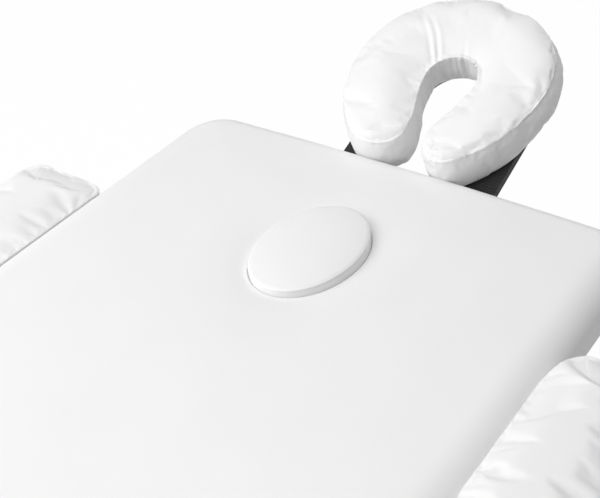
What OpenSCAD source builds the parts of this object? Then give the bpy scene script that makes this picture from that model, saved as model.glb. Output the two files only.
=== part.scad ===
// Folding massage table in two halves, with a face cradle, a face plug and two side armrests.
// The fold line lies along Y, the head half lies toward +X, and the feet stand on z = 0.

/* [Pads] */
// Height of the pads' upper face above the floor
table_h = 690; // [630:10:700]
// Length of the two pads together
pad_l = 1860; // [1820:10:1900]
// Width of the pads
pad_w = 650; // [610:10:700]
// Height of a pad's side, with its cover, foam and deck
pad_t = 64; // [54:1:76]
// Radius of the roll along a pad's upper edge
pad_roll = 25; // [16:1:30]
// Radius of the roll where the two pads meet
fold_roll = 9; // [6:1:14]
// Corner radius at the ends of the table, seen from above
pad_corner = 58; // [40:1:80]
// Corner radius beside the fold, seen from above
fold_corner = 14; // [8:1:20]
// How far an end edge bulges at its middle
pad_bow = 8; // [2:1:12]
// How far the middle of a pad stands above its edges
pad_crown = 3; // [1:1:6]
// Thickness of the cover
cover_t = 1.2; // [1:0.1:2]
// Thickness of the plywood deck
deck_t = 6; // [4:1:9]

/* [Face hole and plug] */
// Distance from the head edge back to the middle of the face hole
hole_back = 231; // [220:1:240]
// Length of the plug, along the table
plug_l = 190; // [170:1:196]
// Width of the plug
plug_w = 132; // [110:1:150]
// How far the plug stands above the pad
plug_rise = 9; // [4:1:14]
// Crown of the plug's upper face
plug_crown = 5; // [2:1:8]
// Radius of the plug's upper edge
plug_roll = 9; // [6:1:12]
// Depth of the dimple that the cover forms around the hole
dimple = 2.5; // [1:0.5:4]
// Width of that dimple
dimple_w = 26; // [18:1:34]
// Radius on which the cover turns down into the hole
hole_roll = 4; // [2:0.5:5]

/* [Frame] */
// Width of an aluminium rail
rail_w = 25; // [22:1:30]
// Height of an aluminium rail
rail_h = 50; // [48:1:60]
// Wall of a rail
rail_wall = 2; // [1.5:0.1:3]
// Radius of a rail's long edges
rail_round = 5; // [3:0.5:7]
// How far the frame sits in from the pad's edge
frame_inset = 20; // [16:1:26]
// Outer radius of a cast corner, seen from above
frame_corner = 30; // [28:1:36]
// Length of a corner's spigot inside a rail
spigot_l = 22; // [15:1:30]
// Number of flat bars under each deck
bar_count = 2; // [1:1:2]
// Width of a flat bar
bar_w = 30; // [20:1:36]
// Thickness of a flat bar and of a brace bracket's flange
bar_t = 6; // [5:0.5:6.5]

/* [Centre hinges and latches] */
// Length of a hinge plate
hinge_l = 92; // [70:1:110]
// Height of a hinge plate
hinge_h = 30; // [24:1:34]
// Radius of a hinge plate's eye
hinge_eye = 12; // [10:0.5:14]
// Thickness of a hinge plate
hinge_t = 3; // [2:0.5:4]
// Radius of the hinge pin
hinge_pin_r = 5; // [4:0.5:6]
// Distance from the fold to a latch's pivot
latch_x = 740; // [730:5:750]
// Width of a latch's arm
latch_w = 14; // [12:1:18]
// Thickness of a latch
latch_t = 3; // [2:0.5:4]
// Radius of the stud that a latch hooks
stud_r = 3; // [2.5:0.5:4]

/* [Carry handle] */
// Length of the grip
handle_l = 116; // [100:1:130]
// Distance from the handle's pivot to its grip
handle_drop = 46; // [42:1:54]
// Share of the frame's height at which the handle pivots
handle_place_share = 0.4; // [0.36:0.02:0.6]
// Radius of the grip
grip_r = 8; // [7:0.5:9]
// Length of a handle's pivot pin, and width of its bracket
eye_t = 6; // [5:0.5:8]

/* [Legs] */
// Distance from the pad's end edge back to a leg's pivot
pivot_back = 115; // [112:1:120]
// Height of the leg pivot above the frame's lower face
pivot_up = 25; // [24:0.5:26]
// Angle by which the legs lean outward
leg_splay = 12; // [10:0.5:14]
// Diameter of a leg's outer tube
leg_d = 26; // [24:0.5:27]
// Wall of a leg's outer tube
leg_wall = 1.5; // [1.2:0.1:2]
// Length of a leg's outer tube, from the pivot
sleeve_l = 495; // [480:5:500]
// Distance from the pivot down to the crossbar
crossbar_down = 300; // [285:5:305]
// Diameter of the crossbar
crossbar_d = 24; // [20:1:25]
// Diameter of the tube that the legs pivot on
pivot_tube_d = 25; // [22:1:28]
// Radius of a pivot bolt
pivot_bolt_r = 5; // [4:0.5:6]
// Gap between the head legs' feet and the rails beside them
leg_gap = 1.5; // [1:0.5:3]
// Distance by which the foot legs stand further in than the head legs
leg_set_step = 54; // [53:1:58]
// Distance from the pivot down to the top of an inner tube
inner_top = 300; // [290:5:310]
// Wall of an inner tube
inner_wall = 1.6; // [1.2:0.1:2]
// Height of a rubber foot
foot_h = 34; // [28:1:38]
// Radius of a rubber foot
foot_r = 18; // [16:0.5:20]

/* [Leg clamps] */
// Distance from a sleeve's lower end up to its clamp knob
knob_up = 49; // [45:1:59]
// Radius on which a knob's lobes lie
knob_r = 12; // [10:0.5:13]
// Radius of one lobe
lobe_r = 5; // [4:0.5:6]
// Number of lobes
lobe_count = 5; // [3:1:8]
// Thickness of a knob
knob_t = 13; // [10:0.5:14]
// Thickness of the knob's hub
hub_t = 4; // [3:0.5:5]
// Radius of a knob's screw
screw_r = 3; // [2.5:0.5:4]
// Height of the collar at a sleeve's lower end
collar_h = 28; // [22:1:32]
// Wall of that collar
collar_wall = 2; // [1.5:0.1:2.2]

/* [Knee braces] */
// Distance down the leg to the brace's lower pivot
brace_down = 200; // [195:1:206]
// Distance from the leg's pivot back to the brace's upper pivot
brace_back = 100; // [98:1:104]
// Height of the brace's upper pivot above the leg's pivot
brace_lift = 9; // [8:0.5:9.5]
// Share of the whole brace that its upper link has
upper_link_share = 0.70; // [0.69:0.005:0.71]
// Width of a link
link_w = 12; // [10:0.5:12]
// Thickness of a link
link_t = 3; // [2.5:0.1:3]
// Radius of a brace rivet
rivet_r = 3.5; // [3:0.25:4]

/* [Accessory sockets] */
// Diameter of the rods that go into the end rails
post_d = 16; // [14:0.5:18]
// Distance between the two rods
post_span = 216; // [200:2:230]
// Wall of a socket tube
socket_wall = 2.6; // [2:0.1:4]
// Length of a socket tube
socket_l = 78; // [60:1:79]
// Distance by which a rod stops short of its socket's inner end
post_short = 4; // [1:1:20]

/* [Face cradle] */
// Angle by which the cradle's cushion is tilted up
cradle_tilt = 20; // [16:1:24]
// Height of the cushion's seam plane above the pad, over the head edge
cradle_up = 32; // [30:1:40]
// Largest width of the cushion
cushion_w = 272; // [264:2:290]
// Distance from the head edge to the cushion's far side, along its slope
cushion_reach = 278; // [274:1:290]
// Height of the cushion below its seam plane
cushion_h = 62; // [56:1:64]
// Height of the cushion's crown above its seam plane
cushion_crown = 10; // [6:1:14]
// Largest width of the opening in the cushion
face_gap_w = 72; // [60:1:80]
// Narrow width between the two lobes
face_gap_neck = 26; // [20:1:32]
// Distance from the head edge to the opening's far end, along the slope
face_gap_reach = 166; // [160:1:172]
// Thickness of the board under the cushion
board_t = 10; // [8:1:12]
// Thickness of the loop fabric between board and cushion
loop_t = 3; // [2:0.5:4]
// Width of the board
board_w = 226; // [216:2:232]
// Width of the slot between the board's arms
board_slot_w = 114; // [106:2:118]
// Distance from the head edge to the slot's far end, along the slope
board_slot_reach = 202; // [196:1:206]
// How far the cushion reaches beyond the board's round end
board_short = 38; // [34:1:44]
// Distance from the head edge to the board's near end
board_near = 6; // [2:1:10]
// Distance from the head edge to the cradle's tilt axis
tilt_out = 45; // [42:1:50]
// Depth of the tilt axis below the pad's upper face
tilt_down = 45; // [44:0.5:46]
// Distance between the outer faces of the yoke's arms
yoke_span = 160; // [150:2:166]
// Thickness of a yoke arm and of a board ear
ear_t = 5; // [4:0.5:6]
// Side of the yoke's square bar
yoke_bar = 24; // [22:1:28]
// Radius of the tilt bolt
tilt_bolt_r = 4; // [3:0.5:5]
// Length of the cam lever
cam_l = 62; // [50:1:70]
// Radius of the cam
cam_r = 6; // [5:0.5:7]

/* [Armrests] */
// Length of an armrest
arm_l = 600; // [560:5:620]
// Width of an armrest
arm_w = 118; // [100:1:130]
// Height of an armrest's cushion
arm_t = 40; // [34:1:42]
// Thickness of an armrest's board
arm_board_t = 8; // [6:1:10]
// How far an armrest lies below the pad
arm_drop = 1; // [1:0.5:5]
// Distance from the head edge back to an armrest
arm_back = 237; // [230:1:250]
// Corner radius of an armrest, seen from above
arm_corner = 24; // [20:1:34]
// Radius of the roll along an armrest's upper edge
arm_roll = 16; // [10:1:18]
// How far an armrest's board lies inside its cushion's outline
arm_board_inset = 4; // [2:1:8]
// Diameter of an armrest's rods
rod_d = 12; // [10:0.5:13]
// Depth of the rods below the top of the rails
rod_down = 12; // [11:0.5:13]
// Share of an armrest's length from its end to a rod
rod_place_share = 0.15; // [0.12:0.01:0.17]
// How far a rod reaches under the armrest
rod_reach = 92; // [80:1:98]
// Wall of the bush that a rod slides in
bush_wall = 3; // [2:0.5:3]
// How far a bush stands out from its rail
bush_out = 14; // [10:0.5:15]
// Wall of the saddle under a rod
saddle_wall = 3; // [2:0.5:4]

/* [Hidden] */
$fn = 48;

// Clearances
seat = 0.3;
pin_fit = 0.1;
snug = 0.1;
over = 1;

// Main levels and lines, measured from the fold and the floor
half_l = pad_l / 2;
side_y = pad_w / 2;
pad_z = table_h - pad_t;
fold_z = pad_z - rail_h;
pivot_z = fold_z + pivot_up;
pivot_x = half_l - pivot_back;
rail_out_y = side_y - frame_inset;
rail_in_y = rail_out_y - rail_w;
frame_end = half_l - frame_inset;
fold_gap = seat / 2;
leg_r = leg_d / 2;
head_leg_y = rail_in_y - leg_gap - foot_r;
foot_leg_y = head_leg_y - leg_set_step;
hole_x = half_l - hole_back;

// Length of a leg from its pivot to the floor
leg_l = pivot_z / cos(leg_splay);
inner_d = leg_d - 2 * leg_wall - 2 * seat;
knob_down = sleeve_l - knob_up;

// Upper and lower pivots of a knee brace, beside the leg's own pivot
brace_top = [pivot_x - brace_back, pivot_z + brace_lift];
brace_foot = [pivot_x + brace_down * sin(leg_splay), pivot_z - brace_down * cos(leg_splay)];
brace_run = brace_foot[0] - brace_top[0];
brace_fall = brace_top[1] - brace_foot[1];
brace_l = norm([brace_run, brace_fall]);
brace_angle = atan2(brace_fall, brace_run);
upper_l = brace_l * upper_link_share;
lower_l = brace_l - upper_l;

// Planes of a brace's pieces, measured in from the middle of its leg
rivet_head_h = 2;
brace_boss_h = 1.5;
lower_in = leg_r + brace_boss_h + seat + rivet_head_h / 2;
upper_in = lower_in + link_t + seat;
lug_in = upper_in + link_t + seat;

// Cushion and board of the cradle, in the tilted plane
cradle_origin = [half_l, 0, table_h + cradle_up];
board_top = -cushion_h - loop_t;
board_low = board_top - board_t;
tilt_rise = -tilt_down - cradle_up;
tilt_u = tilt_out * cos(cradle_tilt) + tilt_rise * sin(cradle_tilt);
tilt_w = tilt_rise * cos(cradle_tilt) - tilt_out * sin(cradle_tilt);
ear_r = board_low - tilt_w - seat;

// Outline of the cradle's cushion
widest_share = 0.485;
cushion_back_share = 1.267;
gap_widest_share = 0.753;
cushion_mid_u = cushion_reach * widest_share;
cushion_back_r = cushion_mid_u * cushion_back_share;
gap_mid_u = face_gap_reach * gap_widest_share;
lobe_angle = 145;
lobe_nose = 25;
lobe_lean_share = 0.2;
lobe_end_u = 10;
nose_turn = 78;

/* Shapes shared by several pieces */

// A rounded rectangle about the origin
module rounded(w, h, r) {
    square([w - 2 * r, h], center = true);
    square([w, h - 2 * r], center = true);
    for (sx = [-1, 1], sy = [-1, 1])
        translate([sx * (w / 2 - r), sy * (h / 2 - r)])
            circle(r);
}

// Section of a hollow rail, with two grooves drawn along each side
groove_share = 0.3;
module rail_section() {
    groove = rail_wall / 2;
    difference() {
        rounded(rail_w, rail_h, rail_round);
        rounded(rail_w - 2 * rail_wall, rail_h - 2 * rail_wall, rail_round - rail_wall);
        for (sx = [-1, 1], sy = [-1, 1])
            translate([sx * rail_w / 2, sy * rail_h * groove_share])
                square([groove, 2 * groove], center = true);
    }
}

// A round bar along Y from y0 to y1
module y_bar(r, y0, y1) {
    translate([0, y0, 0])
        rotate([-90, 0, 0])
            cylinder(r = r, h = y1 - y0);
}

// A round bar along X from x0 to x1
module x_bar(r, x0, x1) {
    translate([x0, 0, 0])
        rotate([0, 90, 0])
            cylinder(r = r, h = x1 - x0);
}

// A flat link along +X, standing in the XZ plane, from y = 0 to y = t
module link(l, w, t) {
    rotate([90, 0, 0])
        translate([0, 0, -t])
            linear_extrude(t)
                union() {
                    circle(d = w);
                    translate([l, 0])
                        circle(d = w);
                    translate([0, -w / 2])
                        square([l, w]);
                }
}

// Moves a piece from the fold's own frame to the middle of the part's box
module place() {
    translate([-mid_x, 0, 0])
        children();
}

// The same for the foot half, which mirrors the head half
module place_foot() {
    place()
        mirror([1, 0, 0])
            children();
}

// Copies a right-hand piece to both sides
module both_sides() {
    for (s = [0, 1])
        mirror([0, s, 0])
            children();
}

// Skin over rings of points, closed on itself or with a middle point at each end
module loft(rings, ends) {
    n = len(rings[0]);
    m = len(rings);
    loops = ends ? m - 1 : m;
    skin = [for (i = [0:loops - 1], j = [0:n - 1])
        let (a = i * n + j, b = i * n + (j + 1) % n,
            c = ((i + 1) % m) * n + (j + 1) % n, d = ((i + 1) % m) * n + j)
        each [[a, d, b], [b, d, c]]];
    middle = function (r) [for (k = [0:2]) sum([for (p = r) p[k]]) / n];
    caps = [for (j = [0:n - 1])
        each [[m * n, j, (j + 1) % n], [m * n + 1, (m - 1) * n + (j + 1) % n, (m - 1) * n + j]]];
    flat = [for (r = rings, p = r) p];
    if (ends)
        polyhedron(concat(flat, [middle(rings[0]), middle(rings[m - 1])]), concat(skin, caps));
    else
        polyhedron(flat, skin);
}

function sum(v) = v * [for (i = v) 1];
function arc(x, y, r, a0, a1, n) =
    [for (i = [0:n]) let (a = a0 + (a1 - a0) * i / n) [x + r * cos(a), y + r * sin(a)]];
function left_over(r, inset) = max(r - inset, r / 4);

/* Pads */

// Outline of a pad, drawn in by an inset, from the corner right of the fold round by the outer end
end_steps = 5;
side_steps = 6;
fold_steps = 2;
fold_edge_steps = 4;
end_edge_steps = 8;
function bowed(p) = [p[0] + pad_bow * (1 - pow(p[1] / side_y, 2)), p[1]];
function pad_outline(inset) =
    let (rf = left_over(fold_corner, inset), re = left_over(pad_corner, inset),
        x0 = fold_gap + inset, x1 = half_l - inset, y1 = side_y - inset,
        fold_right = arc(x0 + rf, rf - y1, rf, 180, 270, fold_steps),
        end_right = arc(x1 - re, re - y1, re, 270, 360, end_steps),
        side = [for (i = [1:side_steps - 1]) [x0 + rf + (x1 - re - x0 - rf) * i / side_steps, -y1]],
        end_edge = [for (i = [1:end_edge_steps - 1]) [x1, (y1 - re) * (2 * i / end_edge_steps - 1)]],
        fold_edge = [for (i = [1:fold_edge_steps - 1]) [x0, (y1 - rf) * (1 - 2 * i / fold_edge_steps)]],
        end_left = [for (i = [end_steps:-1:0]) [end_right[i][0], -end_right[i][1]]],
        fold_left = [for (i = [fold_steps:-1:0]) [fold_right[i][0], -fold_right[i][1]]],
        side_left = [for (i = [side_steps - 2:-1:0]) [side[i][0], y1]],
        outer_end = [for (p = concat(end_right, end_edge, end_left)) bowed(p)])
    concat(fold_right, side, outer_end, side_left, fold_left, fold_edge);

// How far a point of a pad's edge lies toward the outer end, from 0 at the fold to 1
function end_share(p) = min(1, max(0, (p[0] - fold_gap - pad_roll) / pad_roll));

// One ring of a pad's rolled edge, at an angle up the roll
function roll_ring(a, t) =
    let (edge = pad_outline(0))
    [for (i = [0:len(edge) - 1])
        let (r = fold_roll + (pad_roll - fold_roll) * end_share(edge[i]),
            q = pad_outline(r * (1 - cos(a)) + t * cos(a))[i])
        [q[0], q[1], table_h - r + (r - t) * sin(a)]];

function pad_ring(inset, z) = [for (p = pad_outline(inset)) [p[0], p[1], z]];

// One ring round the face hole, matched point by point to the pad's outline, and larger than the plug by grow
function oval_ring(grow, z) =
    [for (p = pad_outline(0))
        let (a = atan2(p[1] / plug_w, (p[0] - hole_x) / plug_l))
        [hole_x + (plug_l / 2 + grow) * cos(a), (plug_w / 2 + grow) * sin(a), z]];
function hole_ring(grow, z) = oval_ring(grow + seat, z);

// Ring part of the way from the pad's edge to the hole, with a height
function between_ring(share, z) =
    let (a = pad_ring(pad_roll, z), b = hole_ring(dimple_w, z))
    [for (i = [0:len(a) - 1]) a[i] + (b[i] - a[i]) * share];

// Where the crown's rings lie between the pad's edge and the hole
crown_shares = [0.35, 0.7];

roll_steps = 4;
function edge_rings(t, low) = concat(
    [pad_ring(t, low), pad_ring(t, table_h - pad_roll)],
    [for (k = [1:roll_steps]) roll_ring(90 * k / roll_steps, t)]);

// Solid of a pad's outer form, or of its inner form at a depth t under the cover
module pad_form(t, low, hole) {
    crown_z = table_h + pad_crown - t;
    dimple_z = table_h - dimple;
    if (hole)
        loft(concat(edge_rings(t, low), [for (share = crown_shares) between_ring(share, crown_z)],
            [hole_ring(dimple_w, table_h - t), hole_ring(hole_roll + t, dimple_z - t),
                hole_ring(hole_roll / 4 + t, dimple_z - hole_roll / 2 - t),
                hole_ring(t, dimple_z - 2 * hole_roll), hole_ring(t, low)]), false);
    else
        loft(concat(edge_rings(t, low),
            [pad_ring(half_l / 8, crown_z - pad_crown / 2), pad_ring(half_l / 4, crown_z)]), true);
}

module cover(hole) {
    difference() {
        pad_form(0, pad_z, hole);
        pad_form(cover_t, pad_z - over, hole);
    }
}

module foam(hole) {
    pad_form(cover_t + seat, pad_z + deck_t, hole);
}

module deck(hole) {
    difference() {
        translate([0, 0, pad_z])
            linear_extrude(deck_t)
                polygon(pad_outline(cover_t + seat));
        if (hole)
            translate([0, 0, pad_z - over])
                linear_extrude(deck_t + 2 * over)
                    polygon([for (p = hole_ring(cover_t + seat, 0)) [p[0], p[1]]]);
    }
}

module head_cover() color("whitesmoke") place() cover(true);
module head_foam() color("khaki") place() foam(true);
module head_deck() color("burlywood") place() deck(true);
module foot_cover() color("whitesmoke") place_foot() cover(false);
module foot_foam() color("khaki") place_foot() foam(false);
module foot_deck() color("burlywood") place_foot() deck(false);

// The plug that fills the face hole, with rings round its rolled edge and on its crown
roll_angles = [30, 60, 90];
plug_crown_share = 0.7;
plug_top = table_h + plug_rise;
module face_plug() color("white") place()
    loft(concat(
        [oval_ring(-plug_roll / 4, pad_z), oval_ring(0, pad_z + plug_roll), oval_ring(0, plug_top - plug_roll)],
        [for (a = roll_angles) oval_ring(plug_roll * (cos(a) - 1), plug_top - plug_roll * (1 - sin(a)))],
        [oval_ring(-plug_w / 5, plug_top + plug_crown * plug_crown_share),
            oval_ring(-plug_w / 2.6, plug_top + plug_crown)]), true);

/* Frame */

side_rail_x0 = fold_gap + frame_corner;
side_rail_x1 = frame_end - frame_corner;
rail_mid_y = rail_out_y - rail_w / 2;
rail_mid_z = fold_z + rail_h / 2;
arm_x0 = half_l - arm_back - arm_l;
rod_z = pad_z - rod_down;
bush_r = rod_d / 2 + seat + bush_wall;
// The rod near the fold stays clear of the hinge plate by this much
rod_clear = 2;
near_rod_x = max(arm_x0 + arm_l * rod_place_share, hinge_l + bush_r + bush_wall + rod_clear);
rod_places = [near_rod_x, arm_x0 + arm_l * (1 - rod_place_share)];
latch_rivet_r = stud_r;

module side_rail(rod_holes) {
    difference() {
        translate([side_rail_x0, -rail_mid_y, rail_mid_z])
            rotate([90, 0, 90])
                linear_extrude(side_rail_x1 - side_rail_x0)
                    rail_section();
        translate([pivot_x, 0, pivot_z])
            y_bar(pivot_bolt_r + snug, -rail_out_y - over, -rail_in_y + over);
        translate([latch_x, 0, pivot_z])
            y_bar(latch_rivet_r + snug, -rail_out_y - over, -rail_out_y + rail_wall + over);
        if (rod_holes)
            for (x = rod_places)
                translate([x, 0, rod_z])
                    y_bar(bush_r + snug, -rail_out_y - over, -rail_in_y + over);
    }
}

socket_r = post_d / 2 + seat + socket_wall;
socket_z = pivot_z;

module cross_rail(x, holes) {
    difference() {
        translate([x, -rail_out_y + frame_corner, rail_mid_z])
            rotate([-90, 0, 0])
                linear_extrude(2 * (rail_out_y - frame_corner))
                    rail_section();
        if (holes)
            for (s = [-1, 1])
                translate([0, s * post_span / 2, socket_z])
                    x_bar(socket_r + snug, x - rail_w, x + rail_w);
    }
}

module cross_rails() {
    cross_rail(fold_gap + rail_w / 2, false);
    cross_rail(frame_end - rail_w / 2, true);
}

// A quarter bend with a spigot into the rail at each end
module cast_corner() {
    rotate_extrude(angle = 90)
        translate([frame_corner - rail_w / 2, 0])
            rounded(rail_w, rail_h, rail_round);
    inner_w = rail_w - 2 * rail_wall - 2 * snug;
    inner_h = rail_h - 2 * rail_wall - 2 * snug;
    for (k = [0, 1])
        mirror([k, -k, 0])
            translate([frame_corner - rail_w / 2, -spigot_l, 0])
                rotate([-90, 0, 0])
                    linear_extrude(spigot_l + over)
                        rounded(inner_w, inner_h, rail_round - rail_wall);
}

module corners() {
    both_sides() {
        translate([side_rail_x1, frame_corner - rail_out_y, rail_mid_z])
            rotate([0, 0, -90])
                cast_corner();
        translate([side_rail_x0, frame_corner - rail_out_y, rail_mid_z])
            rotate([0, 0, 180])
                cast_corner();
    }
}

module deck_bars() {
    for (k = [1:bar_count])
        translate([k * half_l / 4 - bar_w / 2, -rail_in_y, pad_z - bar_t])
            cube([bar_w, 2 * rail_in_y, bar_t]);
}

// Bracket under the deck that carries a brace's upper rivet
module brace_bracket(leg_y) {
    lug_y = leg_y - lug_in;
    translate([brace_top[0] - bar_w / 2, -rail_in_y, pad_z - bar_t])
        cube([bar_w, rail_in_y - lug_y + link_t, bar_t]);
    translate([brace_top[0], -lug_y, brace_top[1]]) {
        translate([-bar_w / 2, 0, 0])
            cube([bar_w, link_t, pad_z - brace_top[1] - bar_t / 2]);
        y_bar(bar_w / 2, 0, link_t);
        y_bar(rivet_r, -link_t - 2 * seat, link_t);
        y_bar(link_w / 2, -link_t - 2 * seat - rivet_head_h, -link_t - 2 * seat);
    }
}

// Bolts that the legs turn on, each with a washer and a hexagonal head
module pivot_bolts() {
    washer_t = rivet_head_h / 2;
    both_sides()
        translate([pivot_x, 0, pivot_z]) {
            y_bar(pivot_bolt_r, -rail_out_y - washer_t, -rail_in_y + rail_w);
            y_bar(pivot_bolt_r * 2, -rail_out_y - washer_t, -rail_out_y);
            y_bar(pivot_bolt_r * 1.8, -rail_out_y - 2 * rivet_head_h, -rail_out_y - washer_t, $fn = 6);
        }
}

module sockets() {
    for (s = [-1, 1])
        translate([0, s * post_span / 2, socket_z])
            difference() {
                union() {
                    x_bar(socket_r, frame_end - socket_l, frame_end);
                    x_bar(socket_r + socket_wall, frame_end, frame_end + socket_wall);
                }
                x_bar(post_d / 2 + seat, frame_end - socket_l - over, frame_end + socket_wall + over);
            }
}

module head_side_rails() color("silver") place() both_sides() side_rail(true);
module head_cross_rails() color("silver") place() cross_rails();
module head_corners() color("dimgray") place() corners();
module head_deck_bars() color("lightsteelblue") place() deck_bars();
module head_brace_brackets() color("slategray") place() both_sides() brace_bracket(head_leg_y);
module head_pivot_bolts() color("gray") place() pivot_bolts();
module cradle_sockets() color("black") place() sockets();
module foot_side_rails() color("silver") place_foot() both_sides() side_rail(false);
module foot_cross_rails() color("silver") place_foot() cross_rails();
module foot_corners() color("dimgray") place_foot() corners();
module foot_deck_bars() color("lightsteelblue") place_foot() deck_bars();
module foot_brace_brackets() color("slategray") place_foot() both_sides() brace_bracket(foot_leg_y);
module foot_pivot_bolts() color("gray") place_foot() pivot_bolts();
module foot_sockets() color("black") place_foot() sockets();

// Bushes in the head half's rails for the armrests' rods, each with a flange against the rail
module armrest_bushes() color("black") place() both_sides()
    for (x = rod_places)
        translate([x, 0, rod_z])
            difference() {
                union() {
                    y_bar(bush_r, -rail_out_y - bush_out, -rail_in_y - snug);
                    intersection() {
                        y_bar(bush_r + bush_wall, -rail_out_y - bush_wall, -rail_out_y);
                        translate([-rail_w, -side_y, -rail_w])
                            cube([2 * rail_w, rail_w, rail_w + rod_down - seat]);
                    }
                }
                y_bar(rod_d / 2 + seat, -rail_out_y - bush_out - over, -rail_in_y + over);
            }

/* Centre hinges */

// Height of a hinge plate's lower edge above the pin
hinge_low = 4;
// Where the plate's rivets are, along it and up it
hinge_rivet_shares = [[0.4, 0.3], [0.4, 0.8], [0.85, 0.3], [0.85, 0.8]];

// A stamped plate with rounded corners, an eye at its end and four rivets into the rail
module hinge_plate(y) {
    plate_round = hinge_h / 5;
    translate([0, -y, fold_z]) {
        rotate([90, 0, 0])
            linear_extrude(hinge_t)
                union() {
                    circle(hinge_eye);
                    translate([0, hinge_low])
                        square([hinge_l - plate_round, hinge_h - plate_round]);
                    translate([hinge_l / 2, hinge_low + hinge_h / 2])
                        rounded(hinge_l, hinge_h, plate_round);
                }
        for (share = hinge_rivet_shares)
            translate([hinge_l * share[0], 0, hinge_low + hinge_h * share[1]])
                y_bar(rivet_r, -hinge_t - rivet_head_h / 2, -hinge_t / 2);
    }
}

module head_hinge_plates() color("gray") place() both_sides()
    difference() {
        hinge_plate(rail_out_y);
        translate([0, 0, fold_z])
            y_bar(hinge_pin_r + pin_fit, -rail_out_y - hinge_t - over, -rail_out_y + over);
    }

// The foot half's plates pass outside the head half's and carry the pins
hinge_step = hinge_t + seat;
hinge_face = rail_out_y + hinge_step + hinge_t;
module foot_hinge_plates() color("darkgray") place_foot() both_sides() {
    hinge_plate(rail_out_y + hinge_step);
    translate([hinge_l / 3, -rail_out_y - hinge_step, fold_z + hinge_low])
        cube([hinge_l / 2, hinge_step, hinge_h]);
    translate([0, 0, fold_z]) {
        y_bar(hinge_pin_r, -hinge_face, -rail_out_y + rivet_head_h);
        y_bar(hinge_pin_r * 1.6, -hinge_face - rivet_head_h, -hinge_face);
    }
}

/* Latches and carry handle */

latch_reach = 2 * pivot_up;
latch_face = rail_out_y + seat;
stud_face = latch_face + latch_t + seat;
module latch_plate() {
    difference() {
        union() {
            translate([0, -latch_face, 0])
                mirror([1, 0, 0])
                    translate([0, -latch_t, 0])
                        link(latch_reach, latch_w, latch_t);
            y_bar(latch_rivet_r, -latch_face, -rail_out_y + rail_wall);
            y_bar(latch_w / 2.5, -latch_face - latch_t - rivet_head_h / 2, -latch_face - latch_t);
        }
        translate([-latch_reach, -latch_face - latch_t - over, 0]) {
            y_bar(stud_r + seat, 0, latch_t + 2 * over);
            translate([-stud_r - seat, 0, -latch_w])
                cube([2 * (stud_r + seat), latch_t + 2 * over, latch_w]);
        }
    }
}

module latch_right() color("dimgray") place() translate([latch_x, 0, pivot_z]) latch_plate();
module latch_left() color("dimgray") place() mirror([0, 1, 0]) translate([latch_x, 0, pivot_z]) latch_plate();

module latch_studs() color("gray") place_foot() both_sides()
    translate([latch_x, 0, pivot_z]) {
        y_bar(stud_r, -stud_face, -rail_out_y + rail_wall);
        y_bar(stud_r + rivet_head_h, -stud_face - rivet_head_h, -stud_face);
    }

handle_x = half_l / 2;
handle_y = rail_out_y + grip_r + rivet_head_h;
handle_z = fold_z + rail_h * handle_place_share;
handle_arm_r = grip_r / 2;
// Finger ribs round the grip
rib_count = 7;
rib_h = 1.2;

module carry_handle() color("black") place()
    translate([handle_x, handle_y, handle_z]) {
        for (s = [-1, 1])
            translate([s * (handle_l / 2 - grip_r), 0, 0]) {
                translate([0, 0, -handle_drop])
                    cylinder(r = handle_arm_r, h = handle_drop);
                translate([0, 0, -handle_arm_r / 4])
                    sphere(r = handle_arm_r * 1.25);
                mirror([(1 - s) / 2, 0, 0])
                    x_bar(handle_arm_r / 2, 0, grip_r + eye_t);
            }
        translate([0, 0, -handle_drop]) {
            x_bar(grip_r - rib_h, -handle_l / 2, handle_l / 2);
            for (s = [-1, 1])
                translate([s * (handle_l / 2 - grip_r), 0, 0])
                    x_bar(grip_r, -grip_r, grip_r);
            for (k = [1:rib_count])
                translate([(handle_l - 2 * grip_r) * (k / (rib_count + 1) - 0.5), 0, 0])
                    x_bar(grip_r - rib_h / 3, -2 * rib_h, 2 * rib_h);
        }
    }

module handle_brackets() color("gray") place()
    for (s = [-1, 1])
        translate([handle_x + s * (handle_l / 2 + seat + eye_t / 2), 0, handle_z])
            difference() {
                union() {
                    translate([-eye_t / 2, rail_out_y, -grip_r])
                        cube([eye_t, handle_y - rail_out_y, 2 * grip_r]);
                    translate([0, handle_y, 0])
                        x_bar(grip_r, -eye_t / 2, eye_t / 2);
                }
                translate([0, handle_y, 0])
                    x_bar(handle_arm_r / 2 + pin_fit, -eye_t, eye_t);
            }

/* Legs */

// Turns a piece built straight down from the pivot to the leg's lean
module leg_lean() {
    translate([pivot_x, 0, pivot_z])
        rotate([0, -leg_splay, 0])
            children();
}

// Height of the knob's boss on a leg
knob_boss_h = 6;
// Length of the plug that the pivot bolt turns in
bearing_l = 32;
// Length of the solid top of a leg
leg_cap_h = 20;

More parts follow.
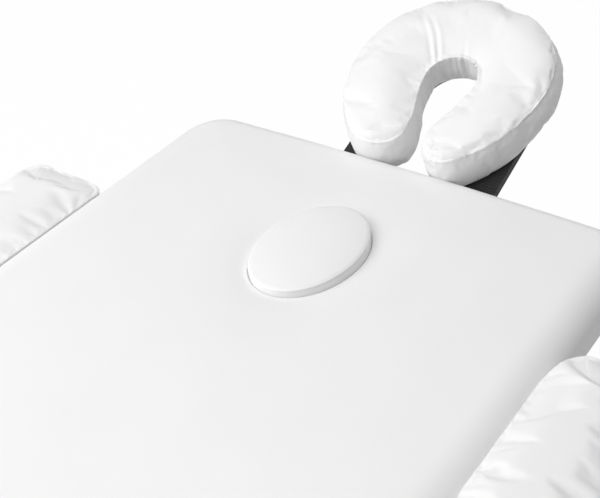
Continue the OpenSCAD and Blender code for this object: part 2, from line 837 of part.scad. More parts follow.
module leg_frame(leg_y) {
    leg_lean()
        difference() {
            union() {
                y_bar(pivot_tube_d / 2, -rail_in_y + seat, rail_in_y - seat);
                translate([0, 0, -crossbar_down])
                    y_bar(crossbar_d / 2, -leg_y, leg_y);
                both_sides() {
                    translate([0, -leg_y, -sleeve_l])
                        cylinder(r = leg_r, h = sleeve_l);
                    translate([0, 0, -brace_down])
                        y_bar(link_w / 2, -leg_y, -leg_y + leg_r + brace_boss_h);
                    translate([0, 0, -knob_down])
                        y_bar(screw_r * 2.4, -leg_y, -leg_y + leg_r + knob_boss_h);
                }
            }
            y_bar(pivot_tube_d / 2 - leg_wall, -rail_in_y + bearing_l, rail_in_y - bearing_l);
            translate([0, 0, -crossbar_down])
                y_bar(crossbar_d / 2 - leg_wall, -leg_y + leg_r, leg_y - leg_r);
            both_sides() {
                y_bar(pivot_bolt_r + pin_fit, -rail_in_y - over, -rail_in_y + bearing_l + over);
                translate([0, -leg_y, -sleeve_l - over])
                    cylinder(r = leg_r - leg_wall, h = sleeve_l + over - leg_cap_h);
                translate([0, 0, -knob_down])
                    y_bar(screw_r + pin_fit, -leg_y, -leg_y + leg_r + knob_boss_h + over);
            }
        }
}

// Collar over a sleeve's lower end, with a lip round the inner tube
module leg_collars(leg_y) {
    leg_lean()
        both_sides()
            translate([0, -leg_y, -sleeve_l - collar_wall])
                difference() {
                    cylinder(r = leg_r + collar_wall, h = collar_h);
                    translate([0, 0, collar_wall])
                        cylinder(r = leg_r + snug, h = collar_h);
                    translate([0, 0, -over])
                        cylinder(r = inner_d / 2 + seat, h = collar_h);
                }
}

// Rubber left under the end of an inner tube
tube_end = 10;
module inner_tube(leg_y) {
    leg_lean()
        translate([0, -leg_y, -leg_l + tube_end])
            difference() {
                cylinder(d = inner_d, h = leg_l - tube_end - inner_top);
                translate([0, 0, -over])
                    cylinder(d = inner_d - 2 * inner_wall, h = leg_l - tube_end - inner_top + 2 * over);
            }
}

// Shares of a foot's height, and of the rubber's thickness beside the tube, from its sole to its upper rim
foot_profile_shares = [[0.32, 1], [0.4, 0.7], [0.5, 0.7], [0.56, 0.9], [0.64, 0.9], [0.7, 0.6], [0.8, 0.6],
    [0.86, 0.8], [0.96, 0.8], [1, 0.65]];

// A foot with a wide sole and two ribs round its neck, cut level with the floor
module rubber_foot(leg_y) {
    tube_r = inner_d / 2 + snug;
    intersection() {
        leg_lean()
            translate([0, -leg_y, -leg_l])
                difference() {
                    rotate_extrude()
                        polygon(concat([[0, -foot_r], [foot_r, -foot_r]],
                            [for (share = foot_profile_shares)
                                [tube_r + (foot_r - tube_r) * share[1], foot_h * share[0]]],
                            [[0, foot_h]]));
                    translate([0, 0, tube_end])
                        cylinder(r = tube_r, h = foot_h);
                }
        translate([pivot_x, -leg_y - 2 * foot_r, 0])
            cube([half_l, 4 * foot_r, 2 * foot_h]);
    }
}

// A lobed knob with its screw, pressing on the inner tube
module clamp_knob(leg_y) {
    face = -leg_y + leg_r + knob_boss_h + seat;
    leg_lean()
        translate([0, 0, -knob_down]) {
            y_bar(screw_r, -leg_y + inner_d / 2 + seat, face + hub_t / 2);
            y_bar(knob_r * 0.7, face, face + hub_t + knob_t / 4);
            translate([0, face + hub_t, 0])
                rotate([-90, 0, 0])
                    difference() {
                        union() {
                            cylinder(r = knob_r, h = knob_t);
                            for (k = [1:lobe_count])
                                rotate(360 * (k - 0.5) / lobe_count)
                                    translate([knob_r, 0, 0])
                                        cylinder(r = lobe_r, h = knob_t);
                        }
                        translate([0, 0, knob_t - over])
                            cylinder(r = knob_r / 2, h = 2 * over);
                    }
        }
}

module head_leg_frame() color("silver") place() leg_frame(head_leg_y);
module foot_leg_frame() color("silver") place_foot() leg_frame(foot_leg_y);
module head_leg_collars() color("black") place() leg_collars(head_leg_y);
module foot_leg_collars() color("black") place_foot() leg_collars(foot_leg_y);
module inner_tube_head_right() color("gainsboro") place() inner_tube(head_leg_y);
module inner_tube_head_left() color("gainsboro") place() mirror([0, 1, 0]) inner_tube(head_leg_y);
module inner_tube_foot_right() color("gainsboro") place_foot() inner_tube(foot_leg_y);
module inner_tube_foot_left() color("gainsboro") place_foot() mirror([0, 1, 0]) inner_tube(foot_leg_y);
module rubber_foot_head_right() color("black") place() rubber_foot(head_leg_y);
module rubber_foot_head_left() color("black") place() mirror([0, 1, 0]) rubber_foot(head_leg_y);
module rubber_foot_foot_right() color("black") place_foot() rubber_foot(foot_leg_y);
module rubber_foot_foot_left() color("black") place_foot() mirror([0, 1, 0]) rubber_foot(foot_leg_y);
module knob_head_right() color("black") place() clamp_knob(head_leg_y);
module knob_head_left() color("black") place() mirror([0, 1, 0]) clamp_knob(head_leg_y);
module knob_foot_right() color("black") place_foot() clamp_knob(foot_leg_y);
module knob_foot_left() color("black") place_foot() mirror([0, 1, 0]) clamp_knob(foot_leg_y);

/* Knee braces */

// Turns a piece built along +X from the brace's upper pivot to the brace's slope
module brace_slope() {
    translate([brace_top[0], 0, brace_top[1]])
        rotate([0, brace_angle, 0])
            children();
}

// Upper link, turning on the bracket's rivet, with the knee rivet fixed in it
module upper_link(leg_y) {
    brace_slope() {
        difference() {
            translate([0, -leg_y + upper_in, 0])
                link(upper_l, link_w, link_t);
            y_bar(rivet_r + pin_fit, -leg_y + upper_in - over, -leg_y + upper_in + link_t + over);
        }
        translate([upper_l, 0, 0]) {
            y_bar(rivet_r, -leg_y + lower_in - seat, -leg_y + upper_in);
            y_bar(link_w / 2, -leg_y + lower_in - seat - rivet_head_h / 2, -leg_y + lower_in - seat);
        }
    }
}

// Lower link, turning on the knee rivet, with its own rivet's head facing the leg's boss
module lower_link(leg_y) {
    brace_slope() {
        difference() {
            translate([upper_l, -leg_y + lower_in, 0])
                link(lower_l, link_w, link_t);
            translate([upper_l, 0, 0])
                y_bar(rivet_r + pin_fit, -leg_y + lower_in - over, -leg_y + lower_in + link_t + over);
        }
        translate([brace_l, 0, 0])
            y_bar(rivet_r * 1.5, -leg_y + lower_in - rivet_head_h / 2, -leg_y + lower_in);
    }
}

module head_upper_links() color("gray") place() both_sides() upper_link(head_leg_y);
module head_lower_links() color("darkgray") place() both_sides() lower_link(head_leg_y);
module foot_upper_links() color("gray") place_foot() both_sides() upper_link(foot_leg_y);
module foot_lower_links() color("darkgray") place_foot() both_sides() lower_link(foot_leg_y);

/* Face cradle */

yoke_x = half_l + tilt_out;
tilt_z = table_h - tilt_down;
post_end = frame_end - socket_l + post_short;
yoke_half = post_span / 2 + post_d;
arm_in_y = yoke_span / 2 - ear_t;

module cradle_posts() color("silver") place()
    for (s = [-1, 1])
        translate([0, s * post_span / 2, socket_z])
            x_bar(post_d / 2, post_end, yoke_x + yoke_bar / 2);

// Bar across the rods, with two arms up to the tilt axis
module cradle_yoke() color("dimgray") place()
    difference() {
        union() {
            translate([yoke_x, -yoke_half, socket_z])
                rotate([-90, 0, 0])
                    linear_extrude(2 * yoke_half)
                        rounded(yoke_bar, yoke_bar, yoke_bar / 6);
            both_sides()
                translate([yoke_x, 0, tilt_z]) {
                    y_bar(ear_r, -yoke_span / 2, -arm_in_y);
                    translate([-ear_r, -yoke_span / 2, socket_z - tilt_z])
                        cube([2 * ear_r, ear_t, tilt_z - socket_z]);
                }
        }
        for (s = [-1, 1])
            translate([0, s * post_span / 2, socket_z])
                x_bar(post_d / 2 + snug, yoke_x - yoke_bar, yoke_x + yoke_bar);
        translate([yoke_x, 0, tilt_z])
            y_bar(tilt_bolt_r + pin_fit, -yoke_span, yoke_span);
    }

// Turns a piece built in the cradle's own plane to its tilt
module cradle_lean() {
    translate(cradle_origin)
        rotate([0, -cradle_tilt, 0])
            children();
}

board_end = cushion_reach - board_short;
module cradle_board() color("black") place() cradle_lean()
    translate([0, 0, board_low])
        linear_extrude(board_t + loop_t - seat)
            difference() {
                union() {
                    translate([board_near, -board_w / 2])
                        square([board_end - board_w / 2 - board_near, board_w]);
                    translate([board_end - board_w / 2, 0])
                        circle(d = board_w);
                }
                translate([board_near - over, -board_slot_w / 2])
                    square([board_slot_reach - board_slot_w / 2 - board_near + over, board_slot_w]);
                translate([board_slot_reach - board_slot_w / 2, 0])
                    circle(d = board_slot_w);
            }

// Ears under the board, with the tilt bolt fixed in them
ear_in_y = yoke_span / 2 + seat;
module cradle_ears() color("gray") place() cradle_lean()
    translate([tilt_u, 0, tilt_w]) {
        both_sides() {
            y_bar(ear_r, -ear_in_y - ear_t, -ear_in_y);
            translate([-ear_r, -ear_in_y - ear_t, 0])
                cube([2 * ear_r, ear_t, board_low - tilt_w]);
        }
        y_bar(tilt_bolt_r, -ear_in_y - ear_t, ear_in_y + ear_t + rivet_head_h);
    }

// Lever with a round cam, tapering to a thumb end turned away from the board
cam_y = ear_in_y + ear_t + seat + cam_r;
module cam_lever() color("black") place() cradle_lean()
    translate([tilt_u, -cam_y, tilt_w]) {
        thumb_r = cam_r * 0.6;
        translate([0, 0, -cam_r])
            cylinder(r = cam_r, h = 2 * cam_r);
        translate([0, 0, -cam_r * 0.6])
            linear_extrude(cam_r * 1.2) {
                polygon([[0, cam_r * 0.6], [0, -cam_r * 0.8], [cam_l * 0.7, -cam_r * 0.7],
                    [cam_l - cam_r, -cam_r - thumb_r], [cam_l - cam_r, thumb_r - cam_r],
                    [cam_l * 0.7, cam_r * 0.1]]);
                translate([cam_l - cam_r, -cam_r])
                    circle(thumb_r);
            }
    }

// Outer and inner edge of the cushion's seam at an angle round it, from the far side at 0
function outer_edge(a) =
    let (r = abs(a) > 90 ? cushion_back_r : cushion_reach - cushion_mid_u)
    [cushion_mid_u + r * cos(a), cushion_w / 2 * sin(a)];
function inner_edge(a) =
    let (t = min(1, max(0, (abs(a) - 90) / (lobe_angle - 90))), s = (1 - cos(180 * t)) / 2,
        y = (face_gap_w + (face_gap_neck - face_gap_w) * s) / 2)
    abs(a) <= 90 ? [gap_mid_u + (face_gap_reach - gap_mid_u) * cos(a), face_gap_w / 2 * sin(a)]
        : [gap_mid_u + (lobe_end_u - gap_mid_u) * t, sign(a) * y];

// Half the cushion's section: shares of its half width, and heights as shares of its wall and crown
section_width_shares = [0.72, 0.9, 0.985, 1.01, 1, 0.965, 0.82, 0.5, 0.15];
section_wall_shares = [-1, -0.93, -0.7, -0.4, -0.1, 0, 0, 0, 0];
section_crown_shares = [0, 0, 0, 0, 0, 0.12, 0.6, 0.92, 1];
// How much of the lobe's rounded end each of those heights has
section_nose_shares = [0.05, 0.15, 0.4, 0.75, 1, 1, 0.95, 0.85, 0.8];
half_count = len(section_width_shares);

// One section: its seam's middle, its half width and its nose as vectors, and how far the end has closed
function cushion_section(mid, half, nose, close) =
    let (side = function (k, s) let (w = section_width_shares[k] * s * close,
            z = section_wall_shares[k] * cushion_h + section_crown_shares[k] * cushion_crown,
            p = mid + half * w + nose * section_nose_shares[k]) [p[0], p[1], z])
    concat([for (k = [0:half_count - 1]) side(k, 1)], [for (k = [half_count - 1:-1:0]) side(k, -1)]);

around_steps = 24;
nose_steps = 3;
function cushion_rings() =
    let (at = function (a) let (o = outer_edge(a), i = inner_edge(a)) [(o + i) / 2, (o - i) / 2],
        body = [for (k = [0:around_steps])
            let (m = at(lobe_angle * (2 * k / around_steps - 1))) cushion_section(m[0], m[1], [0, 0], 1)],
        nose = function (s, k)
            let (m = at(s * lobe_angle), b = nose_turn * k / nose_steps, reach = lobe_nose * sin(b))
            cushion_section(m[0], m[1], [-reach, -s * reach * lobe_lean_share], cos(b)))
    concat([for (k = [nose_steps:-1:1]) nose(-1, k)], body, [for (k = [1:nose_steps]) nose(1, k)]);

module cradle_cushion() color("white") place() cradle_lean()
    loft(cushion_rings(), true);

// Furthest reach of the cushion beyond the fold, and of the feet on the other side
cushion_far = half_l
    + max([for (r = cushion_rings(), p = r) p[0] * cos(cradle_tilt) - p[2] * sin(cradle_tilt)]);
feet_far = pivot_x + pivot_z * tan(leg_splay) + foot_r / cos(leg_splay);
mid_x = (cushion_far - feet_far) / 2;

/* Armrests */

arm_in = side_y + 2 * seat;
arm_top = table_h - arm_drop;
arm_low = arm_top - arm_t;
arm_corner_steps = 4;
function arm_outline(inset) =
    let (r = left_over(arm_corner, inset), x0 = arm_x0 + inset, x1 = arm_x0 + arm_l - inset,
        y0 = -arm_in - arm_w + inset, y1 = -arm_in - inset)
    concat(arc(x0 + r, y0 + r, r, 180, 270, arm_corner_steps),
        arc(x1 - r, y0 + r, r, 270, 360, arm_corner_steps),
        arc(x1 - r, y1 - r, r, 0, 90, arm_corner_steps),
        arc(x0 + r, y1 - r, r, 90, 180, arm_corner_steps));
function arm_ring(inset, z) = [for (p = arm_outline(inset)) [p[0], p[1], z]];

module armrest_pad()
    loft(concat(
        [arm_ring(arm_roll / 8, arm_low), arm_ring(0, arm_low + arm_t / 5), arm_ring(0, arm_top - arm_roll)],
        [for (a = roll_angles) arm_ring(arm_roll * (1 - cos(a)), arm_top - arm_roll * (1 - sin(a)))],
        [arm_ring(arm_w / 3, arm_top + pad_crown / 2)]), true);

// Board with two saddles and the rods clamped in them
saddle_share = 0.7;
module armrest_frame() {
    saddle_w = rod_d * 2;
    board_z = arm_low - arm_board_t;
    translate([0, 0, board_z])
        linear_extrude(arm_board_t)
            polygon(arm_outline(arm_board_inset));
    for (x = rod_places)
        translate([x, 0, rod_z]) {
            y_bar(rod_d / 2, -side_y - rod_reach, -rail_in_y - over);
            translate([-saddle_w / 2, -side_y - rod_reach, -rod_d / 2 - saddle_wall])
                cube([saddle_w, rod_reach * saddle_share, board_z - rod_z + rod_d / 2 + saddle_wall]);
        }
}

module armrest_pad_right() color("white") place() armrest_pad();
module armrest_pad_left() color("white") place() mirror([0, 1, 0]) armrest_pad();
module armrest_frame_right() color("tan") place() armrest_frame();
module armrest_frame_left() color("tan") place() mirror([0, 1, 0]) armrest_frame();

head_cover();
head_foam();
head_deck();
head_side_rails();
head_cross_rails();
head_corners();
head_deck_bars();
head_brace_brackets();
head_pivot_bolts();
head_hinge_plates();
cradle_sockets();
armrest_bushes();
handle_brackets();
foot_cover();
foot_foam();
foot_deck();
foot_side_rails();
foot_cross_rails();
foot_corners();
foot_deck_bars();
foot_brace_brackets();
foot_pivot_bolts();
foot_hinge_plates();
foot_sockets();
latch_studs();
head_leg_frame();
foot_leg_frame();
head_leg_collars();
foot_leg_collars();
inner_tube_head_left();
inner_tube_head_right();
inner_tube_foot_left();
inner_tube_foot_right();
rubber_foot_head_left();
rubber_foot_head_right();
rubber_foot_foot_left();
rubber_foot_foot_right();
knob_head_left();
knob_head_right();
knob_foot_left();
knob_foot_right();
head_upper_links();
head_lower_links();
foot_upper_links();
foot_lower_links();
cradle_posts();
cradle_yoke();
cradle_board();
cradle_ears();
cradle_cushion();
cam_lever();
face_plug();
armrest_pad_left();
armrest_frame_left();
armrest_pad_right();
armrest_frame_right();
latch_left();
latch_right();
carry_handle();
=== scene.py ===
# A folding massage table: a padded top in two halves on an aluminium frame with folding legs, a face
# plug, a tilting face cradle and two armrests. Metres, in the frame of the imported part.
import math

import bmesh
import bpy
import numpy as np
from mathutils import Matrix, Vector, kdtree


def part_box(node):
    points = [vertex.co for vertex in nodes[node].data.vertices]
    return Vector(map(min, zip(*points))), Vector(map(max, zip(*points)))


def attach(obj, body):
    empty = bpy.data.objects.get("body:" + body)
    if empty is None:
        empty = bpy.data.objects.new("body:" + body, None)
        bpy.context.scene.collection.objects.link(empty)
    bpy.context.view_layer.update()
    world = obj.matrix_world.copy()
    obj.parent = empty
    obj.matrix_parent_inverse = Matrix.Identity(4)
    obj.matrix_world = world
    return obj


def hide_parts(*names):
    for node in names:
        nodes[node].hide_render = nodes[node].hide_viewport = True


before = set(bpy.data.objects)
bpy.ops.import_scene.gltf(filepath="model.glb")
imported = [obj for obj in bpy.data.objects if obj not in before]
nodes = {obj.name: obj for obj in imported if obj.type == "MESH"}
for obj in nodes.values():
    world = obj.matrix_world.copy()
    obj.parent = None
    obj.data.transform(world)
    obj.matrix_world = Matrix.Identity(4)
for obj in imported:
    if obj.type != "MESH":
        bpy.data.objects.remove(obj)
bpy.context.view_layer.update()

# The studio. The camera stands beside the foot half at a standing person's eye height and looks over the
# pads to the head end. The floor is a white sweep, and the light comes from a window on the far side.
YAW, PITCH, ROLL = (math.radians(angle) for angle in (33.27, 34.85, -1.56))
CAMERA_AT, LENS, SENSOR = (-0.4888, -0.6791, 1.5759), 77.87, 36
# How bright the floor looks, the share of its look that light and shadow leave alone, and its size
FLOOR_WHITE, FLOOR_SHARE, FLOOR_SIZE = 1.03, 0.94, 60
ahead = Vector((math.cos(YAW) * math.cos(PITCH), math.sin(YAW) * math.cos(PITCH), -math.sin(PITCH)))
level_right = Vector((math.sin(YAW), -math.cos(YAW), 0))
level_up = level_right.cross(ahead)
right = level_right * math.cos(ROLL) + level_up * math.sin(ROLL)
up = level_up * math.cos(ROLL) - level_right * math.sin(ROLL)
camera = bpy.data.objects.new("camera", bpy.data.cameras.new("camera"))
camera.data.sensor_width = SENSOR
camera.data.lens = LENS
camera.data.clip_end = 200
turned = Matrix((right, up, -ahead)).transposed().to_4x4()
camera.matrix_world = Matrix.Translation(CAMERA_AT) @ turned
bpy.context.scene.collection.objects.link(camera)
bpy.context.scene.camera = camera
bpy.context.scene.view_settings.view_transform = "Standard"


class Flow:
    """A value on its way through a finish's nodes, with the sums that it takes part in."""

    def __init__(self, finish, socket):
        self.finish, self.socket = finish, socket

    def math(self, operation, first, second):
        return self.finish.node("ShaderNodeMath", {0: first, 1: second}, operation=operation)

    def __add__(self, other):
        return self.math("ADD", self, other)

    def __sub__(self, other):
        return self.math("SUBTRACT", self, other)

    def __rsub__(self, other):
        return self.math("SUBTRACT", other, self)

    def __mul__(self, other):
        return self.math("MULTIPLY", self, other)

    __radd__ = __add__
    __rmul__ = __mul__


class Finish:
    """One surface's finish: its shader and the nodes that vary it."""

    def __init__(self, name):
        self.material = bpy.data.materials.new(name)
        self.material.use_nodes = True
        self.tree = self.material.node_tree
        self.shader = self.tree.nodes["Principled BSDF"]

    def node(self, kind, inputs=None, out=0, **settings):
        made = self.tree.nodes.new(kind)
        for key, value in settings.items():
            setattr(made, key, value)
        for key, value in (inputs or {}).items():
            self.feed(made.inputs[key], value)
        return Flow(self, made.outputs[out])

    def feed(self, socket, value):
        if isinstance(value, Flow):
            self.tree.links.new(value.socket, socket)
        else:
            socket.default_value = value

    def set(self, **values):
        for name, value in values.items():
            self.feed(self.shader.inputs[name.replace("_", " ")], value)

    def place(self, stretch=(1, 1, 1)):
        where = self.node("ShaderNodeTexCoord", out="Object")
        return self.node("ShaderNodeMapping", {"Vector": where, "Scale": stretch})

    def noise(self, scale, detail=2.0, stretch=(1, 1, 1)):
        where = self.place(stretch)
        return self.node("ShaderNodeTexNoise", {"Vector": where, "Scale": scale, "Detail": detail})

    def cells(self, scale):
        return self.node("ShaderNodeTexVoronoi", {"Vector": self.place(), "Scale": scale})

    def between(self, share, first, second):
        colours = {6: (*first, 1) if isinstance(first, tuple) else first,
                   7: (*second, 1) if isinstance(second, tuple) else second}
        return self.node("ShaderNodeMix", {0: share, **colours}, out=2, data_type="RGBA")

    def relief(self, height, distance):
        self.set(Normal=self.node("ShaderNodeBump", {"Height": height, "Distance": distance}))


sweep = Finish("studio white")
sweep.set(Base_Color=(0.55, 0.55, 0.55, 1), Roughness=0.9)
seen_directly = sweep.node("ShaderNodeLightPath", out="Is Camera Ray")
seen_in_metal = sweep.node("ShaderNodeLightPath", out="Is Glossy Ray")
seen_through = sweep.node("ShaderNodeLightPath", out="Is Transmission Ray")
white = sweep.node("ShaderNodeEmission", {"Color": (1, 1, 1, 1), "Strength": FLOOR_WHITE})
lit = Flow(sweep, sweep.shader.outputs[0])
share = (seen_directly + seen_in_metal + seen_through) * FLOOR_SHARE
shown = sweep.node("ShaderNodeMixShader", {0: share, 1: lit, 2: white})
sweep.tree.links.new(shown.socket, sweep.tree.nodes["Material Output"].inputs[0])
bpy.ops.mesh.primitive_plane_add(size=FLOOR_SIZE, location=(0, 0, 0))
floor = bpy.context.object
floor.name = "floor"
floor.data.materials.append(sweep.material)

# How strongly the air lights the object, and how bright it looks itself
SHADE, WHITE = 0.39, 1.0
air = bpy.data.worlds.new("studio air")
air.use_nodes = True
bpy.context.scene.world = air
ray = air.node_tree.nodes.new("ShaderNodeLightPath")
looked_at = air.node_tree.nodes.new("ShaderNodeMath")
looked_at.operation = "MAXIMUM"
strength = air.node_tree.nodes.new("ShaderNodeMapRange")
strength.inputs["To Min"].default_value = SHADE
strength.inputs["To Max"].default_value = WHITE
background = air.node_tree.nodes["Background"]
background.inputs["Color"].default_value = (1, 1, 1, 1)
for start, end in ((ray.outputs["Is Camera Ray"], looked_at.inputs[0]),
                   (ray.outputs["Is Transmission Ray"], looked_at.inputs[1]),
                   (looked_at.outputs[0], strength.inputs["Value"]),
                   (strength.outputs["Result"], background.inputs["Strength"])):
    air.node_tree.links.new(start, end)


def lamp(name, size, power, at, toward):
    light = bpy.data.lights.new(name, "AREA")
    light.size, light.energy = size, power
    stand = bpy.data.objects.new(name, light)
    stand.location = at
    stand.rotation_euler = (Vector(toward) - Vector(at)).to_track_quat("-Z", "Y").to_euler()
    bpy.context.scene.collection.objects.link(stand)


lamp("window", 3.2, 69, (-1.35, 1.25, 2.35), (0.2, 0.1, 0.7))
lamp("sky", 3.0, 24, (1.0, 0.2, 3.6), (0.4, 0, 0.7))

# The two pads. Each is a foam block on a plywood deck under one white leatherette cover, drawn down over
# the rolled edges, turned in under the deck and stapled there. In the head half the cover also goes down
# through the face hole, where the foam dips towards the plug.
CROWN, BOW, FOLD_GAP = 0.003, 0.008, 0.00015
# The cover's thickness under the deck and beside it, and how far it is turned in at the edge and the hole
CLOTH, COVER_INSIDE = 0.0009, 0.0012
HEM, HEM_EDGE, HOLE_HEM, HOLE_EDGE = 0.018, 0.0030, 0.014, 0.0014
# The roll of a pad's upper edge, how far from the fold it starts to widen, and over what length
FOLD_ROLL, END_ROLL, SIDE_ROLL_IN, SIDE_ROLL_DOWN = 0.009, 0.025, 0.040, 0.029
ROLL_FROM, ROLL_OVER, ROLL_STEPS = 0.02, 0.10, 14
FOLD_CORNER, END_CORNER = 0.014, 0.058
# A pad's side: the heights of its rings over the deck, how far it swells and how far the cover's pulls reach
SIDE_STEPS = (0.002, 0.006, 0.011, 0.017, 0.024)
SWELL, SWELL_FULL = 0.0012, 0.017
PULL, PULL_AT, PULL_WIDE, LONG_PULLS, SHORT_PULLS = 0.00045, 0.004, 0.016, 0.045, 0.014
# The crown starts a little inside the edge, and the foam under the cover is a little uneven
CROWN_FROM, CROWN_OVER, HOLE_CROWN_OVER = 0.006, 0.12, 0.07
UNEVEN, UNEVEN_SIZE, TOP_LAYER = 0.0006, 0.16, 0.02
TOP_RINGS = np.linspace(0, 1, 20)[1:] ** 1.25
# In the foot half the rings end in a ridge line, in the head half in the dimple round the face hole
RIDGE_FAN, RIDGE_HALF = (0.55, 1), (0.20, 0.03)
DIMPLE, DIMPLE_WIDE, DIMPLE_EDGE, HOLE_ROLL = 0.0022, 0.019, 0.045, 0.0022
DIMPLE_STEPS = (0.037, 0.030, 0.024, 0.019, 0.0145, 0.0105, 0.0075, 0.0052, 0.0034)
cover_low, cover_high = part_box("head_cover")
DECK_LOW = cover_low.z
DECK_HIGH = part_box("head_deck")[1].z + 0.0001
TOP = cover_high.z - CROWN
FOLD_X, HEAD_X, SIDE_Y = cover_low.x - FOLD_GAP, cover_high.x - BOW, cover_high.y
REACH = HEAD_X - FOLD_X
HOLE_HALF, DECK_HOLE_HALF = np.array((0.0942, 0.0648)), np.array((0.0953, 0.0663))
HOLE_X = REACH - 0.231
HOLE_MIDDLE, DECK_HOLE_MIDDLE = np.array((HOLE_X, 0.0050)), np.array((HOLE_X, 0))
WELL_HEIGHTS = (TOP - 0.016, TOP - 0.032, DECK_HIGH + 0.012, DECK_LOW + 0.001, DECK_LOW - 0.0004)

leather = Finish("white leatherette")
pebbles = leather.cells(900.0)
pores = leather.noise(1700.0, 3.0)
leather.set(Base_Color=leather.between(leather.noise(9.0, 3.0), (0.878, 0.878, 0.880), (0.906, 0.906, 0.907)),
            Roughness=0.43 + 0.10 * leather.noise(35.0, 4.0) + 0.05 * pebbles,
            Specular_IOR_Level=0.42, Coat_Weight=0.04, Coat_Roughness=0.45)
leather.relief(pebbles * 0.7 + pores * 0.5, 0.00008)


def normals_of(line):
    """Outward directions of a closed line of points that runs anticlockwise."""
    along = np.roll(line, -1, 0) - np.roll(line, 1, 0)
    along /= np.linalg.norm(along, axis=1)[:, None]
    return np.column_stack([along[:, 1], -along[:, 0]])


def at_height(line, z):
    return np.column_stack([line, np.broadcast_to(z, len(line))])


def arc(centre, radius, start, stop, count):
    angles = np.radians(np.linspace(start, stop, count))
    return np.column_stack([centre[0] + radius * np.cos(angles), centre[1] + radius * np.sin(angles)])


def skin(name, rings, closed=False):
    """A cover over rings of points, closed on itself or with its first and last ring drawn to a point."""
    rings = np.array(rings)
    count, around = rings.shape[:2]
    index = np.arange(count * around).reshape(count, around)
    faces = []
    for i in range(count if closed else count - 1):
        a, b = index[i], index[(i + 1) % count]
        faces += np.column_stack([a, b, np.roll(b, -1), np.roll(a, -1)]).tolist()
    mesh = bpy.data.meshes.new(name)
    mesh.from_pydata(rings.reshape(-1, 3).tolist(), [], faces)
    form = bmesh.new()
    form.from_mesh(mesh)
    bmesh.ops.remove_doubles(form, verts=form.verts, dist=2e-6)
    bmesh.ops.dissolve_degenerate(form, edges=form.edges, dist=1e-6)
    bmesh.ops.holes_fill(form, edges=form.edges)
    bmesh.ops.recalc_face_normals(form, faces=form.faces)
    if form.calc_volume(signed=True) < 0:
        bmesh.ops.reverse_faces(form, faces=form.faces)
    for face in form.faces:
        face.smooth = True
    form.to_mesh(mesh)
    form.free()
    piece = bpy.data.objects.new(name, mesh)
    bpy.context.scene.collection.objects.link(piece)
    return piece


def waves(turns, cycles, seed):
    """An uneven wave round a closed line: turns runs from 0 to 1 round it, with about so many cycles."""
    chance = np.random.default_rng(seed)
    total = np.zeros(np.shape(turns))
    for k in range(7):
        total += np.sin(2 * math.pi * (round(cycles * chance.uniform(0.6, 1.5)) * turns + chance.uniform()))
    return total / 4


def turns_round(line):
    """How far round a closed line each of its points is, from 0 to 1, and the line's length."""
    steps = np.linalg.norm(np.roll(line, -1, 0) - line, axis=1)
    return np.concatenate([[0], np.cumsum(steps)[:-1]]) / steps.sum(), steps.sum()


def pad_edge():
    """A pad's outline, from the middle of the fold round by its right side."""
    fold_corner = arc((FOLD_GAP + FOLD_CORNER, FOLD_CORNER - SIDE_Y), FOLD_CORNER, 180, 270, 12)
    end_corner = arc((REACH - END_CORNER, END_CORNER - SIDE_Y), END_CORNER, 270, 360, 36)
    fold = np.linspace((FOLD_GAP, 0), fold_corner[0], 50)[:-1]
    side = np.linspace(fold_corner[-1], end_corner[0], 170)[1:-1]
    end = np.linspace(end_corner[-1], end_corner[-1] * (1, 0), 60)[1:]
    half = np.concatenate([fold, fold_corner, side, end_corner, end])
    outer = np.clip((half[:, 0] - REACH + END_CORNER) / END_CORNER, 0, 1) ** 2
    half[:, 0] += BOW * outer * (1 - (half[:, 1] / SIDE_Y) ** 2)
    return np.concatenate([half, half[::-1][1:-1] * (1, -1)])


def unevenness(flat, seed, size):
    """The slight waviness of foam under a stretched cover."""
    chance = np.random.default_rng(seed)
    total = np.zeros(flat.shape[:-1])
    for k in range(7):
        heading = chance.uniform(0, 2 * math.pi)
        across = flat[..., 0] * math.cos(heading) + flat[..., 1] * math.sin(heading)
        total += np.sin(2 * math.pi * (across / (size * chance.uniform(0.6, 1.6)) + chance.uniform()))
    return total / 7


def hole_ring(spread, grow, z):
    """A ring of the face hole, as it was cut at the deck and pulled a little aside at the top."""
    upper = min(1, max(0, (z - DECK_HIGH) / (TOP - TOP_LAYER - DECK_HIGH)))
    half = DECK_HOLE_HALF + (HOLE_HALF - DECK_HOLE_HALF) * upper
    return at_height(DECK_HOLE_MIDDLE + (HOLE_MIDDLE - DECK_HOLE_MIDDLE) * upper + spread * (half + grow), z)


